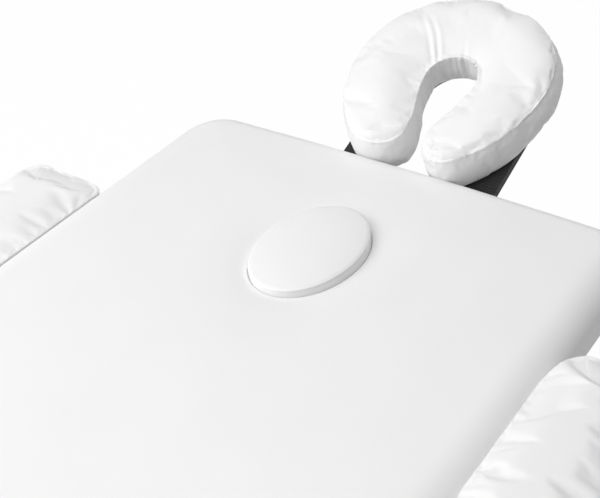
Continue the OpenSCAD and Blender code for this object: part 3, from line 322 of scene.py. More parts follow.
def make_pad(name, hole, seed):
    edge = pad_edge()
    out = normals_of(edge)
    turns, length = turns_round(edge)
    side_share = np.clip((edge[:, 0] - ROLL_FROM) / ROLL_OVER, 0, 1)
    sideways = np.abs(out[:, 1]) ** 2
    roll_in, roll_down = (FOLD_ROLL + (END_ROLL + (roll - END_ROLL) * sideways - FOLD_ROLL) * side_share
                          for roll in (SIDE_ROLL_IN, SIDE_ROLL_DOWN))
    pulls = waves(turns, length / LONG_PULLS, seed) + 0.5 * waves(turns, length / SHORT_PULLS, seed + 1)
    pulls *= np.clip((edge[:, 0] - 0.01) / 0.02, 0, 1)
    rings = [at_height(edge - out * inset, z) for inset, z in (
        (HEM, DECK_LOW), (HEM, DECK_LOW - CLOTH), (HEM_EDGE, DECK_LOW - CLOTH), (0.0004, DECK_LOW - 0.0002))]
    for height in SIDE_STEPS:
        swell = SWELL * math.sin(math.pi / 2 * min(1, height / SWELL_FULL))
        slack = PULL * pulls * math.exp(-((height - PULL_AT) / PULL_WIDE) ** 2)
        rings.append(at_height(edge + out * (swell + slack)[:, None], DECK_LOW + height))
    for turn in np.linspace(0, math.pi / 2, ROLL_STEPS):
        inset = roll_in * (1 - math.cos(turn)) - SWELL * math.cos(turn)
        rings.append(at_height(edge - out * inset[:, None], TOP - roll_down * (1 - math.sin(turn))))
    inner = rings[-1][:, :2]
    if hole:
        from_hole = (edge - HOLE_MIDDLE) / HOLE_HALF
        spread = from_hole / np.linalg.norm(from_hole, axis=1)[:, None]
        far = hole_ring(spread, DIMPLE_EDGE, TOP)[:, :2]
    else:
        middle = np.array((REACH / 2, 0))
        toward = (edge - middle) * RIDGE_FAN
        toward /= np.linalg.norm(toward, axis=1)[:, None]
        far = middle + toward * RIDGE_HALF
    for share in TOP_RINGS:
        rings.append(at_height(inner + (far - inner) * share, TOP))
    if hole:
        for grow in (*DIMPLE_STEPS, HOLE_ROLL):
            rings.append(hole_ring(spread, grow, TOP))
        for turn in np.linspace(0, math.pi / 2, 7)[1:]:
            rolled_in, rolled_down = HOLE_ROLL * (1 - math.sin(turn)), HOLE_ROLL * (1 - math.cos(turn))
            rings.append(hole_ring(spread, rolled_in, TOP - rolled_down))
    else:
        ridge = far * (1, 0)
        rings.append(at_height(ridge, TOP))
    rings = np.array(rings)
    flat = rings[..., :2]
    from_edge = np.minimum.reduce([flat[..., 0], REACH + BOW - flat[..., 0], SIDE_Y - np.abs(flat[..., 1])])
    lift = CROWN * np.clip((from_edge - CROWN_FROM) / CROWN_OVER, 0, 1) ** 0.7
    if hole:
        gap = (np.linalg.norm((flat - HOLE_MIDDLE) / HOLE_HALF, axis=2) - 1) * HOLE_HALF.mean()
        lift *= np.clip(gap / HOLE_CROWN_OVER, 0, 1)
        lift -= DIMPLE * np.exp(-(np.clip(gap, 0, 1) / DIMPLE_WIDE) ** 2)
    near_top = np.clip((rings[..., 2] - TOP + TOP_LAYER) / TOP_LAYER, 0, 1)
    rings[..., 2] += near_top * (lift + UNEVEN * unevenness(flat, seed, UNEVEN_SIZE))
    back = [at_height(edge - out * COVER_INSIDE, z) for z in (DECK_HIGH, DECK_LOW)]
    if hole:
        down = [hole_ring(spread, 0, z) for z in WELL_HEIGHTS]
        turned_in = [hole_ring(spread, grow, z) for grow, z in (
            (HOLE_EDGE, DECK_LOW - CLOTH), (HOLE_HEM, DECK_LOW - CLOTH), (HOLE_HEM, DECK_LOW),
            (COVER_INSIDE, DECK_LOW), (COVER_INSIDE, DECK_HIGH))]
        return skin(name, [*rings, *down, *turned_in, *back], closed=True)
    return skin(name, [at_height(ridge, DECK_HIGH), at_height(far, DECK_HIGH), *back, *rings])


def cover_finish(piece, body, *covered, fill):
    piece.data.materials.append(leather.material)
    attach(piece, body)
    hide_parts(*covered)


head_pad = make_pad("head_pad", True, 5)
foot_pad = make_pad("foot_pad", False, 9)
from_fold = Matrix.Translation((FOLD_X, 0, 0))
turned_about = from_fold @ Matrix.Scale(-1, 4, (1, 0, 0))
head_pad.data.transform(from_fold)
foot_pad.data.transform(turned_about)
foot_pad.data.flip_normals()
cover_finish(head_pad, "head_section", "head_cover", "head_foam", fill=0.9)
cover_finish(foot_pad, "foot_section", "foot_cover", "foot_foam", fill=0.9)

# The staples that hold the covers' hems under the decks: bent steel wire, driven in by hand a few
# centimetres apart and never quite in line.
STAPLE_LONG, STAPLE_WIRE, STAPLE_STEP = 0.0105, 0.0011, 0.034
STAPLE_TURN, STAPLE_ASTRAY, HOLE_STAPLES = 0.10, 0.0012, 0.008

steel_wire = Finish("bright steel wire")
steel_wire.set(Base_Color=(0.72, 0.73, 0.74, 1), Metallic=1.0,
               Roughness=0.30 + 0.15 * steel_wire.noise(900.0, 2.0))
steel_wire.relief(steel_wire.noise(2600.0, 2.0), 0.00002)


def alone(piece):
    bpy.ops.object.select_all(action="DESELECT")
    piece.select_set(True)
    bpy.context.view_layer.objects.active = piece


def shape_points(piece):
    spots = np.empty(3 * len(piece.data.vertices), dtype=np.float32)
    piece.data.vertices.foreach_get("co", spots)
    return spots.reshape(-1, 3).astype(float)


def repeated(name, pattern, places):
    """One piece with a copy of the pattern's mesh at each place, a 4 x 4 matrix."""
    points = np.column_stack([shape_points(pattern), np.ones(len(pattern.data.vertices))])
    faces = [list(face.vertices) for face in pattern.data.polygons]
    all_points, all_faces = [], []
    for place in places:
        all_faces += [[i + len(all_points) * len(points) for i in face] for face in faces]
        all_points.append((points @ np.array(place).T)[:, :3])
    mesh = bpy.data.meshes.new(name)
    mesh.from_pydata(np.concatenate(all_points).tolist(), [], all_faces)
    mesh.polygons.foreach_set("use_smooth", [face.use_smooth for face in pattern.data.polygons] * len(places))
    piece = bpy.data.objects.new(name, mesh)
    bpy.context.scene.collection.objects.link(piece)
    bpy.data.objects.remove(pattern)
    return piece


def make_staple():
    """A staple's crown with its rounded shoulders, lying along X. Its legs, up in the wood, are left out."""
    bpy.ops.object.select_all(action="DESELECT")
    bpy.ops.mesh.primitive_cube_add(size=1, location=(0, 0, 0))
    staple = bpy.context.object
    staple.data.transform(Matrix.Diagonal((STAPLE_LONG, STAPLE_WIRE, STAPLE_WIRE, 1)))
    bpy.ops.object.mode_set(mode="EDIT")
    bpy.ops.mesh.select_all(action="SELECT")
    bpy.ops.mesh.bevel(offset=STAPLE_WIRE * 0.35, segments=1)
    bpy.ops.object.mode_set(mode="OBJECT")
    for face in staple.data.polygons:
        face.use_smooth = True
    return staple


def stapled(name, line, body, seed):
    """Staples along a closed line under a deck, away from the fold."""
    chance = np.random.default_rng(seed)
    turns, length = turns_round(line)
    out = normals_of(line)
    places = []
    for turn in np.arange(0, 1, STAPLE_STEP / length):
        i = int(np.searchsorted(turns, turn)) % len(line)
        if line[i][0] > FOLD_CORNER + HEM:
            heading = math.atan2(out[i][0], -out[i][1]) + chance.normal(0, STAPLE_TURN)
            x, y = line[i] - out[i] * chance.normal(0, STAPLE_ASTRAY)
            places.append(Matrix.Translation((x, y, DECK_LOW - CLOTH)) @ Matrix.Rotation(heading, 4, "Z"))
    row = repeated(name, make_staple(), places)
    row.data.transform(from_fold if body == "head_section" else turned_about)
    if body == "foot_section":
        row.data.flip_normals()
    row.data.materials.append(steel_wire.material)
    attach(row, body)


hem_line = pad_edge() - normals_of(pad_edge()) * HEM * 0.55
stapled("head_staples", hem_line, "head_section", 3)
stapled("foot_staples", hem_line, "foot_section", 4)
hole_angles = np.radians(np.arange(0, 360, 3.0))
round_hole = np.column_stack([np.cos(hole_angles), np.sin(hole_angles)])
hole_line = DECK_HOLE_MIDDLE + round_hole * (DECK_HOLE_HALF + HOLE_STAPLES)
stapled("face_hole_staples", hole_line, "head_section", 7)


# The face plug: a foam oval under its own cover, a top panel sewn to a side band with the seam turned
# inwards, pushed into the face hole. It stands a finger's width above the pad, a little askew.
STITCH, STITCH_STEP, THREAD = 0.0030, 0.0042, 0.00030
PLUG_RISE = 0.0064
PLUG_LEAN = (math.radians(-1.5), math.radians(-1.2))
PLUG_NARROWS, PLUG_SHIFT, PLUG_CLEAR = np.array((0.0005, 0.0016)), 0.0008, 0.0004
NARROWS_FROM, NARROWS_OVER, SKEW_OVER = 0.014, 0.012, 0.045
PLUG_CROWN, PLUG_FULLNESS, PLUG_BULGE = 0.0058, 2.6, 0.0004
PLUG_BASE = ((0.9, 0.0002, 0.0), (0.985, 0.0005, 0.0))
# The depth, spread and size of the puckers beside the plug's seam
PLUG_PUCKERS = ((0.00012, 0.008, 0.014), (0.0003, 0.022, 0.050))
# A seam's outline, as how far out and how high over the sewn line, with the lip at SEAM_LIP, and the shares
# of the way in at which a top panel has its rings
SEAM = ((0.0, -0.0040), (-0.0001, -0.0026), (-0.0006, -0.0016), (-0.0007, -0.0010), (0.0001, -0.0005),
        (0.0004, 0.0), (0.0001, 0.0005), (-0.0008, 0.0010), (-0.0020, 0.0016), (-0.0032, 0.0022))
SEAM_LIP = 5
INWARD = (0.02, 0.04, 0.07, 0.11, 0.16, 0.22, 0.29, 0.37, 0.46, 0.56, 0.67, 0.79, 0.91, 1.0)


def stuffed(name, ring, side, rise, crown, fullness):
    """A padded piece as rings round its edge, from its underside up its side, over the seam and in to the
    middle of the top panel. ring(wide, z, out) gives one ring, its width a share and out an offset."""
    low = side[0][1]
    sewn_rings = [ring(1.0, rise + z, out) for out, z in SEAM]
    rings = [ring(0.0, low, 0.0), ring(0.5, low, 0.0)] + [ring(*level) for level in side] + sewn_rings
    edge_out, edge_z = SEAM[-1]
    for inward in INWARD:
        height = crown * (1 - (1 - inward) ** fullness)
        rings.append(ring(1 - inward, rise + edge_z + height, edge_out * (1 - inward)))
    return skin(name, rings), sewn_rings[SEAM_LIP]


def finer(piece):
    alone(piece)
    smooth = piece.modifiers.new("finer", "SUBSURF")
    smooth.levels = smooth.render_levels = 1
    smooth.use_limit_surface = False
    bpy.ops.object.modifier_apply(modifier=smooth.name)


def nearest_on(line, points):
    """Where round a closed line each point's nearest place is, from 0 to 1, and how far off it lies."""
    turns, length = turns_round(line)
    tree = kdtree.KDTree(len(line))
    for i, point in enumerate(line):
        tree.insert(point, i)
    tree.balance()
    found = [tree.find(point)[1:] for point in points]
    index = np.array([i for i, far in found])
    ahead_on = np.roll(line, -1, 0) - np.roll(line, 1, 0)
    ahead_on /= np.linalg.norm(ahead_on, axis=1)[:, None]
    past = np.einsum("ij,ij->i", points - line[index], ahead_on[index])
    return turns[index] + past / length, np.array([far for i, far in found])


def shift(piece, amounts):
    """Moves a cover's points along its own outward directions."""
    outward = np.empty(3 * len(piece.data.vertices), dtype=np.float32)
    piece.data.vertices.foreach_get("normal", outward)
    moved = shape_points(piece) + outward.reshape(-1, 3) * amounts[:, None]
    piece.data.vertices.foreach_set("co", moved.ravel())
    piece.data.update()


def pucker(piece, line, depth, spread, size, seed):
    """Draws a cover in and out beside a sewn line, as tight thread does."""
    turns, far = nearest_on(line, shape_points(piece))
    length = turns_round(line)[1]
    shift(piece, depth * waves(turns, length / size, seed) * np.exp(-(far / spread) ** 2))


thread = Finish("white thread")
thread.set(Base_Color=(0.88, 0.88, 0.88, 1), Roughness=0.6 + 0.1 * thread.noise(1500.0, 2.0),
           Sheen_Weight=0.2)
thread.relief(thread.noise(4000.0, 2.0), 0.00003)


def sewn(name, line, piece, body, place):
    """Stitches lying on a cover along its closed sewn line, each a short plump length of thread."""
    bpy.context.view_layer.update()
    turns, length = turns_round(line)
    count = int(length / STITCH_STEP)
    at = (np.arange(count) + 0.5) / count
    closed_turns = np.append(turns, 1)
    closed_line = np.concatenate([line, line[:1]])
    spot = np.column_stack([np.interp(at, closed_turns, closed_line[:, k]) for k in range(3)])
    spot = np.array([piece.closest_point_on_mesh(place @ Vector(point))[1] for point in spot])
    heading = np.roll(spot, -1, 0) - np.roll(spot, 1, 0)
    bpy.ops.object.select_all(action="DESELECT")
    bpy.ops.mesh.primitive_uv_sphere_add(segments=6, ring_count=5, radius=1)
    stitch = bpy.context.object
    stitch.data.transform(Matrix.Diagonal((THREAD, THREAD, STITCH / 2, 1)))
    for face in stitch.data.polygons:
        face.use_smooth = True
    places = []
    for point, along in zip(spot, heading):
        turn = Vector(along).to_track_quat("Z", "Y").to_matrix().to_4x4()
        places.append(Matrix.Translation(point) @ turn)
    row = repeated(name, stitch, places)
    row.data.materials.append(thread.material)
    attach(row, body)


plug_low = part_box("face_plug")[0]
plug_middle = HOLE_MIDDLE + (FOLD_X, 0)
plug_half = HOLE_HALF - PLUG_CLEAR
plug_seam_z = TOP + PLUG_RISE - plug_low.z
plug_angles = np.radians(np.arange(0, 360, 1.5))
plug_spread = np.column_stack([np.cos(plug_angles), np.sin(plug_angles)])
plug_out = plug_spread / plug_half
plug_out /= np.linalg.norm(plug_out, axis=1)[:, None]


def plug_ring(wide, z, outward):
    """The band fills the hole up to the pad's rim, and leans in and a little to the far side above it."""
    above = float(np.clip((z - plug_seam_z + NARROWS_FROM) / NARROWS_OVER, 0, 1))
    upper = float(np.clip(z / SKEW_OVER, 0, 1)) - 1
    half = plug_half - above * PLUG_NARROWS + upper * (HOLE_HALF - DECK_HOLE_HALF)
    aside = (HOLE_MIDDLE - DECK_HOLE_MIDDLE) * upper + (0, above * PLUG_SHIFT)
    return at_height(plug_spread * half * wide + plug_out * outward + aside, z)


plug_side = [*PLUG_BASE]
for z in np.linspace(0.004, plug_seam_z - 0.007, 12):
    plug_side.append((1.0, z, PLUG_BULGE * math.sin(math.pi * z / plug_seam_z)))
face_plug, plug_seam = stuffed("face_plug_cushion", plug_ring, plug_side, plug_seam_z, PLUG_CROWN,
                               PLUG_FULLNESS)
finer(face_plug)
for seed, (depth, spread, size) in enumerate(PLUG_PUCKERS, 21):
    pucker(face_plug, plug_seam, depth, spread, size, seed)
plug_at = Vector((*plug_middle, TOP))
plug_turned = Matrix.Rotation(PLUG_LEAN[0], 4, "X") @ Matrix.Rotation(PLUG_LEAN[1], 4, "Y")
plug_place = Matrix.Translation(plug_at) @ plug_turned @ Matrix.Translation((0, 0, plug_low.z - TOP))
face_plug.data.transform(plug_place)
cover_finish(face_plug, "face_plug", "face_plug", fill=0.8)
sewn("plug_stitches", plug_seam, face_plug, "face_plug", plug_place)


# The face cradle's cushion: a horseshoe of soft foam in a cover of four panels, a top and a base sewn to
# an outer and an inner band. Loop fabric holds it on its board. The inner band is gathered round the far
# end and drawn in under the foam there, which pulls two creases into the top.
CUSHION_REACH, CUSHION_WIDE, CUSHION_DEEP = 0.278, 0.272, 0.062
CUSHION_CROWN, CUSHION_FULLNESS = 0.0098, 2.6
WIDEST_U = CUSHION_REACH * 0.485
BACK_REACH = WIDEST_U * 1.267
GAP_REACH, GAP_WIDE, GAP_NECK = 0.166, 0.072, 0.026
GAP_WIDEST_U = GAP_REACH * 0.753
LOBE_ANGLE, LOBE_END_U = 145, 0.010
LOBE_NOSE, NOSE_LEAN, NOSE_STEPS = 0.021, 0.2, 22
# The lobes' ends are smoothed up to LOBES_TO, and the smoothing fades over LOBES_OVER
LOBES_TO, LOBES_OVER, LOBE_PASSES = 0.045, 0.030, 45
# How far the cushion lies aside in all, towards its far end, and at its right lobe
ASIDE, ASIDE_FAR, ASIDE_LOBE = 0.004, 0.002, 0.008
CRADLE_TILT = math.radians(20)
CRADLE_UP = 0.032
# The inner band's tuck under the foam, full inside TUCK_ANGLE less TUCK_FADE, from TUCK_FROM down
TUCK, TUCK_LOBES, TUCK_ANGLE, TUCK_FADE, TUCK_FROM = 0.27, 0.10, 112, 52, 0.010
BELLY, BELLY_FAR, BELLY_FROM, BELLY_OVER = 0.0022, 0.0055, 0.05, 0.08
WALL_HEIGHTS = (-0.0620, -0.0612, -0.0590, -0.0555, -0.0505, -0.045, -0.039, -0.033, -0.027, -0.021,
                -0.0155, -0.0105, -0.0070)
CREASES = (((0.150, 0.038), (0.186, 0.060), (0.215, 0.086)),
           ((0.154, 0.030), (0.190, 0.049), (0.213, 0.068)),
           ((0.167, -0.002), (0.184, 0.004), (0.202, 0.009)),
           ((0.160, -0.020), (0.176, -0.031), (0.190, -0.036)))
CREASE_DEPTHS = (0.0030, 0.0028, 0.0009, 0.0008)
CREASE_WIDE = 0.0042
# Where the far end of the cushion is pushed in, and how the inner band is gathered
DENT, DENT_DEEP, DENT_WIDE = np.array((0.272, -0.027)), np.array((-0.0045, 0.0008, -0.0030)), 0.021
GATHER, GATHER_TOP, GATHER_STEP = 0.0030, 0.0007, 0.0105
GATHER_AT, GATHER_SIZE = (GAP_REACH - 0.012, 0), (0.045, 0.042)
CUSHION_PUCKERS = ((0.00045, 0.010, 0.012), (0.0008, 0.030, 0.060))
CUSHION_HELD, CUSHION_PRESSURE, CUSHION_PUFF = -0.058, 4.0, 0.004


def cushion_outer(angle):
    reach = BACK_REACH if abs(angle) > 90 else CUSHION_REACH - WIDEST_U
    turn = math.radians(angle)
    far_side = math.copysign(ASIDE_FAR * min(1, abs(angle) / 60), angle)
    aside = ASIDE + far_side + (ASIDE_LOBE * np.clip((-angle - 60) / 60, 0, 1))
    return np.array((WIDEST_U + reach * math.cos(turn), aside + CUSHION_WIDE / 2 * math.sin(turn)))


def cushion_inner(angle):
    turn = math.radians(angle)
    if abs(angle) <= 90:
        along = GAP_WIDEST_U + (GAP_REACH - GAP_WIDEST_U) * math.cos(turn)
        return np.array((along, GAP_WIDE / 2 * math.sin(turn)))
    t = (abs(angle) - 90) / (LOBE_ANGLE - 90)
    half_gap = (GAP_WIDE + (GAP_NECK - GAP_WIDE) * (1 - math.cos(math.pi * t)) / 2) / 2
    return np.array((GAP_WIDEST_U + (LOBE_END_U - GAP_WIDEST_U) * t, math.copysign(half_gap, angle)))


# Round the edge: the outer side from lobe to lobe, one lobe's nose, the inner side back, the other nose
stations = np.linspace(-LOBE_ANGLE, LOBE_ANGLE, 151)
round_nose = np.arange(1, NOSE_STEPS) * 180 / NOSE_STEPS
round_edge = [(a, 0, False) for a in stations] + [(LOBE_ANGLE, b, False) for b in round_nose]
round_edge += [(a, 0, True) for a in stations[::-1]] + [(-LOBE_ANGLE, 180 - b, False) for b in round_nose]
middle, half, nose, tucked, outer_side = [], [], [], [], []
for angle, turn, inner_side in round_edge:
    outer_point, inner_point = cushion_outer(angle), cushion_inner(angle)
    across = -1 if inner_side else math.cos(math.radians(turn))
    round_end = LOBE_NOSE * math.sin(math.radians(turn))
    middle.append((outer_point + inner_point) / 2)
    half.append((outer_point - inner_point) / 2 * across)
    nose.append((-round_end, -math.copysign(NOSE_LEAN, angle) * round_end))
    drawn = TUCK * np.clip((TUCK_ANGLE - abs(angle)) / TUCK_FADE, 0, 1) - TUCK_LOBES
    tucked.append(drawn if inner_side else 0.0)
    outer_side.append(max(0.0, across))
middle, half, nose, tucked, outer_side = (np.array(v) for v in (middle, half, nose, tucked, outer_side))
lobe_ends = np.clip((LOBES_TO - middle[:, 0]) / LOBES_OVER, 0, 1)[:, None]
for _ in range(LOBE_PASSES):
    for line in (middle, half, nose):
        line += lobe_ends * ((np.roll(line, 1, 0) + np.roll(line, -1, 0)) / 2 - line) / 2
cushion_out = normals_of(middle + half + nose)
DEPTHS = np.array((-1, -0.93, -0.7, -0.4, -0.1, 0.0)) * CUSHION_DEEP
WIDTHS, NOSES = (0.76, 0.9, 0.975, 1.0, 1.0, 1.0), (0.15, 0.45, 0.78, 0.97, 1.0, 1.0)


def cushion_ring(wide, z, outward):
    drawn_in = tucked * np.clip((-z - TUCK_FROM) / (CUSHION_DEEP - TUCK_FROM), 0, 1)
    share = np.interp(z, DEPTHS, WIDTHS) - drawn_in
    nosed = np.interp(z, DEPTHS, NOSES)
    swell = BELLY + BELLY_FAR * np.clip((middle[:, 0] - BELLY_FROM) / BELLY_OVER, 0, 1)
    belly = outward + swell * outer_side * math.sin(math.pi * np.clip(-z / CUSHION_DEEP, 0, 1))
    line = middle + half * (wide * share)[:, None] + nose * wide * nosed + cushion_out * belly[:, None]
    return at_height(line, z)


cushion_wall = [(1.0, z, 0.0) for z in WALL_HEIGHTS]
cushion, cushion_seam = stuffed("cradle_cushion_cover", cushion_ring, cushion_wall, 0.0, CUSHION_CROWN,
                                CUSHION_FULLNESS)

# The leatherette as cloth: its stiffness when pulled and bent, its slack, and the steps that it swells for
PULL_STIFF, BEND_STIFF, SLACK, PUFF_STEPS = 40, 2, -0.02, 20


def puff(piece, held, pressure, cap):
    """Fills a cover: its cloth swells under pressure between the held points, no further than cap."""
    rest = shape_points(piece)
    group = piece.vertex_groups.new(name="held")
    group.add([int(i) for i in np.flatnonzero(held)], 1.0, "REPLACE")
    cloth = piece.modifiers.new("cover", "CLOTH")
    cloth.settings.vertex_group_mass = "held"
    cloth.settings.use_pressure = True
    cloth.settings.uniform_pressure_force = pressure
    cloth.settings.effector_weights.gravity = 0
    cloth.settings.shrink_min = SLACK
    cloth.settings.tension_stiffness = cloth.settings.compression_stiffness = PULL_STIFF
    cloth.settings.bending_stiffness = BEND_STIFF
    cloth.point_cache.frame_start, cloth.point_cache.frame_end = 1, PUFF_STEPS
    for step in range(1, PUFF_STEPS + 1):
        bpy.context.scene.frame_set(step)
    swollen = piece.evaluated_get(bpy.context.evaluated_depsgraph_get())
    moved = np.array([v.co for v in swollen.data.vertices]) - rest
    piece.modifiers.remove(cloth)
    piece.vertex_groups.clear()
    bpy.context.scene.frame_set(1)
    far = np.linalg.norm(moved, axis=1)
    moved *= (np.minimum(far, cap) / np.maximum(far, 1e-9))[:, None]
    piece.data.vertices.foreach_set("co", (rest + moved).ravel())
    piece.data.update()


def held_points(piece, seam_z, low):
    """A cover's points in the groove under its seam or on its underside."""
    groove, reach = 0.0016, 0.0025
    z = shape_points(piece)[:, 2]
    return (np.abs(z - seam_z + groove) < reach) | (z < low)


def crease(piece, path, depth):
    """A fold pulled into a cover: a furrow with a ridge beside it, dying away at its far end."""
    corners = np.array(path)
    steps = np.linspace(0, 1, 60)
    knots = np.linspace(0, 1, len(corners))
    line = np.column_stack([np.interp(steps, knots, corners[:, k]) for k in range(2)])
    points = shape_points(piece)
    near = [np.linalg.norm(points[:, :2] - spot, axis=1) for spot in line]
    index = np.argmin(near, axis=0)
    heading = np.gradient(line, axis=0)
    heading /= np.linalg.norm(heading, axis=1)[:, None]
    offset = points[:, :2] - line[index]
    aside = (offset[:, 0] * heading[index, 1] - offset[:, 1] * heading[index, 0]) / CREASE_WIDE
    past = np.einsum("ij,ij->i", offset, heading[index]) / CREASE_WIDE
    fade = np.clip(1.15 - steps[index], 0, 1) ** 0.6 * np.exp(-past ** 2 / 3)
    upper = np.clip((points[:, 2] + 0.004) / 0.006, 0, 1)
    shift(piece, depth * aside * np.exp(-aside ** 2) * fade * upper)


puff(cushion, held_points(cushion, 0.0, CUSHION_HELD), CUSHION_PRESSURE, CUSHION_PUFF)
finer(cushion)
for path, depth in zip(CREASES, CREASE_DEPTHS):
    crease(cushion, path, depth)
spots = shape_points(cushion)
seam_turns, seam_far = nearest_on(cushion_seam, spots)
inner_end = np.exp(-(np.linalg.norm((spots[:, :2] - GATHER_AT) / GATHER_SIZE, axis=1)) ** 4)
below = np.clip(-spots[:, 2] / 0.003, 0, 1) * np.clip((CUSHION_DEEP + spots[:, 2]) / 0.03, 0, 1)
gather = waves(seam_turns, turns_round(cushion_seam)[1] / GATHER_STEP, 31)
gather *= GATHER * below + GATHER_TOP * np.exp(-(seam_far / 0.012) ** 2)
shift(cushion, inner_end * gather)
dent = np.exp(-(np.linalg.norm(spots[:, :2] - DENT, axis=1) / DENT_WIDE) ** 2)
cushion.data.vertices.foreach_set("co", (shape_points(cushion) + dent[:, None] * DENT_DEEP).ravel())
cushion.data.update()
for seed, (depth, spread, size) in enumerate(CUSHION_PUCKERS, 32):
    pucker(cushion, cushion_seam, depth, spread, size, seed)
cushion_place = Matrix.Translation((HEAD_X, 0, TOP + CRADLE_UP)) @ Matrix.Rotation(-CRADLE_TILT, 4, "Y")
cushion.data.transform(cushion_place)
cover_finish(cushion, "cradle", "cradle_cushion", fill=0.8)
sewn("cradle_cushion_stitches", cushion_seam, cushion, "cradle", cushion_place)


# The two armrests: a foam pad on a thin board, its cover a top panel sewn to a side band, hung on two rods
# from the head half's rails. Each lies against the pad and laps a little over its rolled edge.
ARM_CORNER, ARM_CROWN, ARM_FULLNESS = (0.045, 0.024), 0.0088, 3.2
INNER_CORNERS = {"right": (0.068, 0.027), "left": (0.016, 0.013)}
# How far each laps over the pad, from LAP_FROM under its top, and how far its outer corner spreads
ARM_LAPS, ARM_SPREADS = {"right": 0.0040, "left": 0.0085}, {"right": 0.0, "left": 0.006}
LAP_FROM, LAP_OVER = 0.027, 0.0145
arm_low, arm_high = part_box("armrest_pad_right")
ARM_TOP = arm_high.z - 0.0015
ARM_SEAM_Z = ARM_TOP - 0.0062
ARM_WALL_LOW, ARM_WALL_HIGH = arm_low.z + 0.003, ARM_SEAM_Z - 0.0065
ARM_BASE = ((0.86, arm_low.z + 0.0002, 0.0), (0.96, arm_low.z + 0.0006, 0.0))
ARM_BULGE, ARM_TURN_IN, ARM_CLEAR = 0.0012, 0.0010, 0.002
ARM_HELD, ARM_PRESSURE, ARM_PUFF = 0.0008, 3.0, 0.0025
ARM_PUCKERS = ((0.00018, 0.009, 0.014), (0.0006, 0.026, 0.060))
arm_half = np.array((arm_high.x - arm_low.x, arm_high.y - arm_low.y - ARM_CLEAR)) / 2
arm_middle = np.array((arm_high.x + arm_low.x, arm_high.y + arm_low.y + ARM_CLEAR)) / 2


def arm_quarter(corner_size):
    """A quarter of an armrest's outline, from the middle of its end to the middle of its side."""
    corner = arm_half - corner_size + arc((0, 0), 1, 0, 90, 26) * corner_size
    end = np.linspace((arm_half[0], 0), corner[0], 12)[:-1]
    side = np.linspace(corner[-1], (0, arm_half[1]), 70)[1:]
    return np.concatenate([end, corner, side])


def arm_outline(inner_corner):
    by_head, plain = arm_quarter(inner_corner), arm_quarter(ARM_CORNER)
    upper = np.concatenate([by_head, plain[::-1][1:] * (-1, 1)])
    outer = np.concatenate([plain, plain[::-1][1:] * (-1, 1)])
    return np.concatenate([upper, outer[::-1][1:-1] * (1, -1)])


def arm_ring(wide, z, outward):
    lap = ARM_LAPS[side_name] * np.clip((z - ARM_TOP + LAP_FROM) / LAP_OVER, 0, 1) ** 2
    line = arm_spine + (arm_edge - arm_spine) * wide + arm_out * outward
    line[:, 1] += inner_edge * lap * wide
    line[:, 0] += outer_corner * ARM_SPREADS[side_name] * wide
    return at_height(line + arm_middle, z)


arm_wall = [*ARM_BASE]
for t in np.linspace(0, 1, 9):
    outward = ARM_BULGE * math.sin(math.pi * t) - ARM_TURN_IN * ((1 - t) ** 4 + t ** 4)
    arm_wall.append((1.0, ARM_WALL_LOW + (ARM_WALL_HIGH - ARM_WALL_LOW) * t, outward))
mirrored = Matrix.Scale(-1, 4, (0, 1, 0))
for side_name, seed in (("right", 41), ("left", 51)):
    arm_edge = arm_outline(INNER_CORNERS[side_name])
    arm_out = normals_of(arm_edge)
    spine_x = arm_outline(ARM_CORNER)[:, 0]
    arm_spine = np.column_stack([np.clip(spine_x, arm_half[1] - arm_half[0], arm_half[0] - arm_half[1]),
                                 np.zeros(len(arm_edge))])
    inner_edge = np.clip(arm_edge[:, 1] / arm_half[1], 0, 1) ** 3
    outer_corner = np.clip(-arm_edge[:, 1] / arm_half[1] / 2 + 0.5, 0, 1) * (arm_edge[:, 0] > 0)
    outer_corner *= np.clip(arm_edge[:, 0] / arm_half[0], 0, 1)
    pad, arm_seam = stuffed(f"armrest_cover_{side_name}", arm_ring, arm_wall, ARM_SEAM_Z, ARM_CROWN,
                            ARM_FULLNESS)
    puff(pad, held_points(pad, ARM_SEAM_Z, arm_low.z + ARM_HELD), ARM_PRESSURE, ARM_PUFF)
    finer(pad)
    for pucker_seed, (depth, spread, size) in enumerate(ARM_PUCKERS, seed):
        pucker(pad, arm_seam, depth, spread, size, pucker_seed)
    if side_name == "left":
        pad.data.transform(mirrored)
        pad.data.flip_normals()
        arm_seam = (arm_seam * (1, -1, 1))[::-1]
    cover_finish(pad, f"armrest_{side_name}", f"armrest_pad_{side_name}", fill=0.85)
    sewn(f"armrest_stitches_{side_name}", arm_seam, pad, f"armrest_{side_name}", Matrix())


# The frame as it is assembled: anodised aluminium rails and legs, joined and hinged by zinc plated steel,
# with black moulded corners, bushes and knobs, rubber feet, sanded plywood decks and the cradle's board under
# black loop fabric. The pieces keep their shapes and get their finishes here.
def dress(finish, *names):
    for name in names:
        piece = nodes[name]
        piece.data.materials.clear()
        piece.data.materials.append(finish.material)


def drawn_metal(name, colour, roughness, stretch):
    metal = Finish(name)
    streaks = metal.noise(1.0, 3.0, stretch)
    duller = tuple(c * 0.93 for c in colour)
    metal.set(Base_Color=metal.between(streaks, duller, colour), Metallic=1.0,
              Roughness=roughness + 0.12 * metal.noise(1.0, 2.0, stretch) + 0.06 * metal.noise(40.0, 3.0))
    metal.relief(streaks, 0.00002)
    return metal


rail_metal = drawn_metal("anodised rail", (0.80, 0.81, 0.82), 0.28, (6.0, 1600.0, 1600.0))
cross_metal = drawn_metal("anodised cross rail", (0.80, 0.81, 0.82), 0.28, (1600.0, 6.0, 1600.0))
leg_metal = drawn_metal("anodised leg", (0.80, 0.81, 0.82), 0.24, (1600.0, 1600.0, 6.0))
plated = drawn_metal("zinc plate", (0.62, 0.63, 0.65), 0.34, (90.0, 90.0, 90.0))

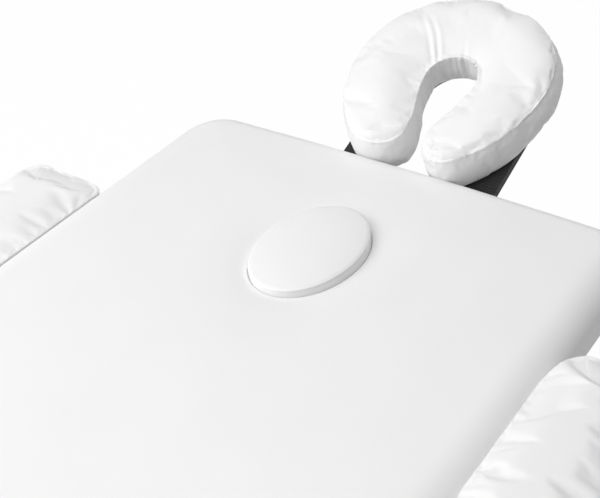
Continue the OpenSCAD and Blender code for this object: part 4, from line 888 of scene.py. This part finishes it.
moulded = Finish("black moulded plastic")
flow_marks = moulded.noise(30.0, 3.0)
moulded.set(Base_Color=moulded.between(flow_marks, (0.028, 0.028, 0.030), (0.042, 0.042, 0.044)),
            Roughness=0.50 + 0.12 * moulded.noise(60.0, 3.0))
moulded.relief(moulded.cells(1300.0), 0.00006)

plywood = Finish("sanded plywood")
figure = plywood.noise(1.0, 5.0, (6.0, 90.0, 90.0))
plies = plywood.node("ShaderNodeTexWave", {"Vector": plywood.place(), "Scale": 110.0, "Distortion": 0.4},
                     bands_direction="Z")
plywood.set(Base_Color=plywood.between(figure, (0.60, 0.43, 0.25), (0.78, 0.62, 0.42)),
            Roughness=0.62 + 0.1 * figure)
plywood.relief(figure * 0.6 + plies * 0.4, 0.00012)

loop = Finish("black loop fabric")
clumps = loop.noise(260.0, 4.0)
loop.set(Base_Color=loop.between(clumps, (0.006, 0.006, 0.007), (0.032, 0.032, 0.034)), Roughness=0.95,
         Sheen_Weight=0.3, Sheen_Roughness=0.5)
loop.relief(loop.cells(620.0) + clumps, 0.0007)

rubber = Finish("black rubber")
rubber.set(Base_Color=rubber.between(rubber.noise(24.0, 4.0), (0.018, 0.018, 0.018), (0.034, 0.033, 0.032)),
           Roughness=0.72 + 0.12 * rubber.noise(90.0, 3.0))
rubber.relief(rubber.noise(700.0, 2.0), 0.00008)

dress(rail_metal, "head_side_rails", "foot_side_rails")
dress(cross_metal, "head_cross_rails", "foot_cross_rails", "head_deck_bars", "foot_deck_bars")
dress(leg_metal, "head_leg_frame", "foot_leg_frame", *[n for n in nodes if n.startswith("inner_tube")])
dress(plated, "cradle_posts", "cradle_ears", "handle_brackets", "latch_studs", "latch_left", "latch_right",
      *[n for n in nodes if n.endswith(("links", "pivot_bolts", "hinge_plates", "brace_brackets"))])
dress(moulded, "head_corners", "foot_corners", "cradle_sockets", "foot_sockets", "armrest_bushes",
      "cradle_yoke", "cam_lever", "carry_handle",
      *[n for n in nodes if n.startswith("knob") or n.endswith("collars")])
dress(rubber, *[n for n in nodes if n.startswith("rubber_foot")])
dress(plywood, "head_deck", "foot_deck", "armrest_frame_left", "armrest_frame_right")
dress(loop, "cradle_board")
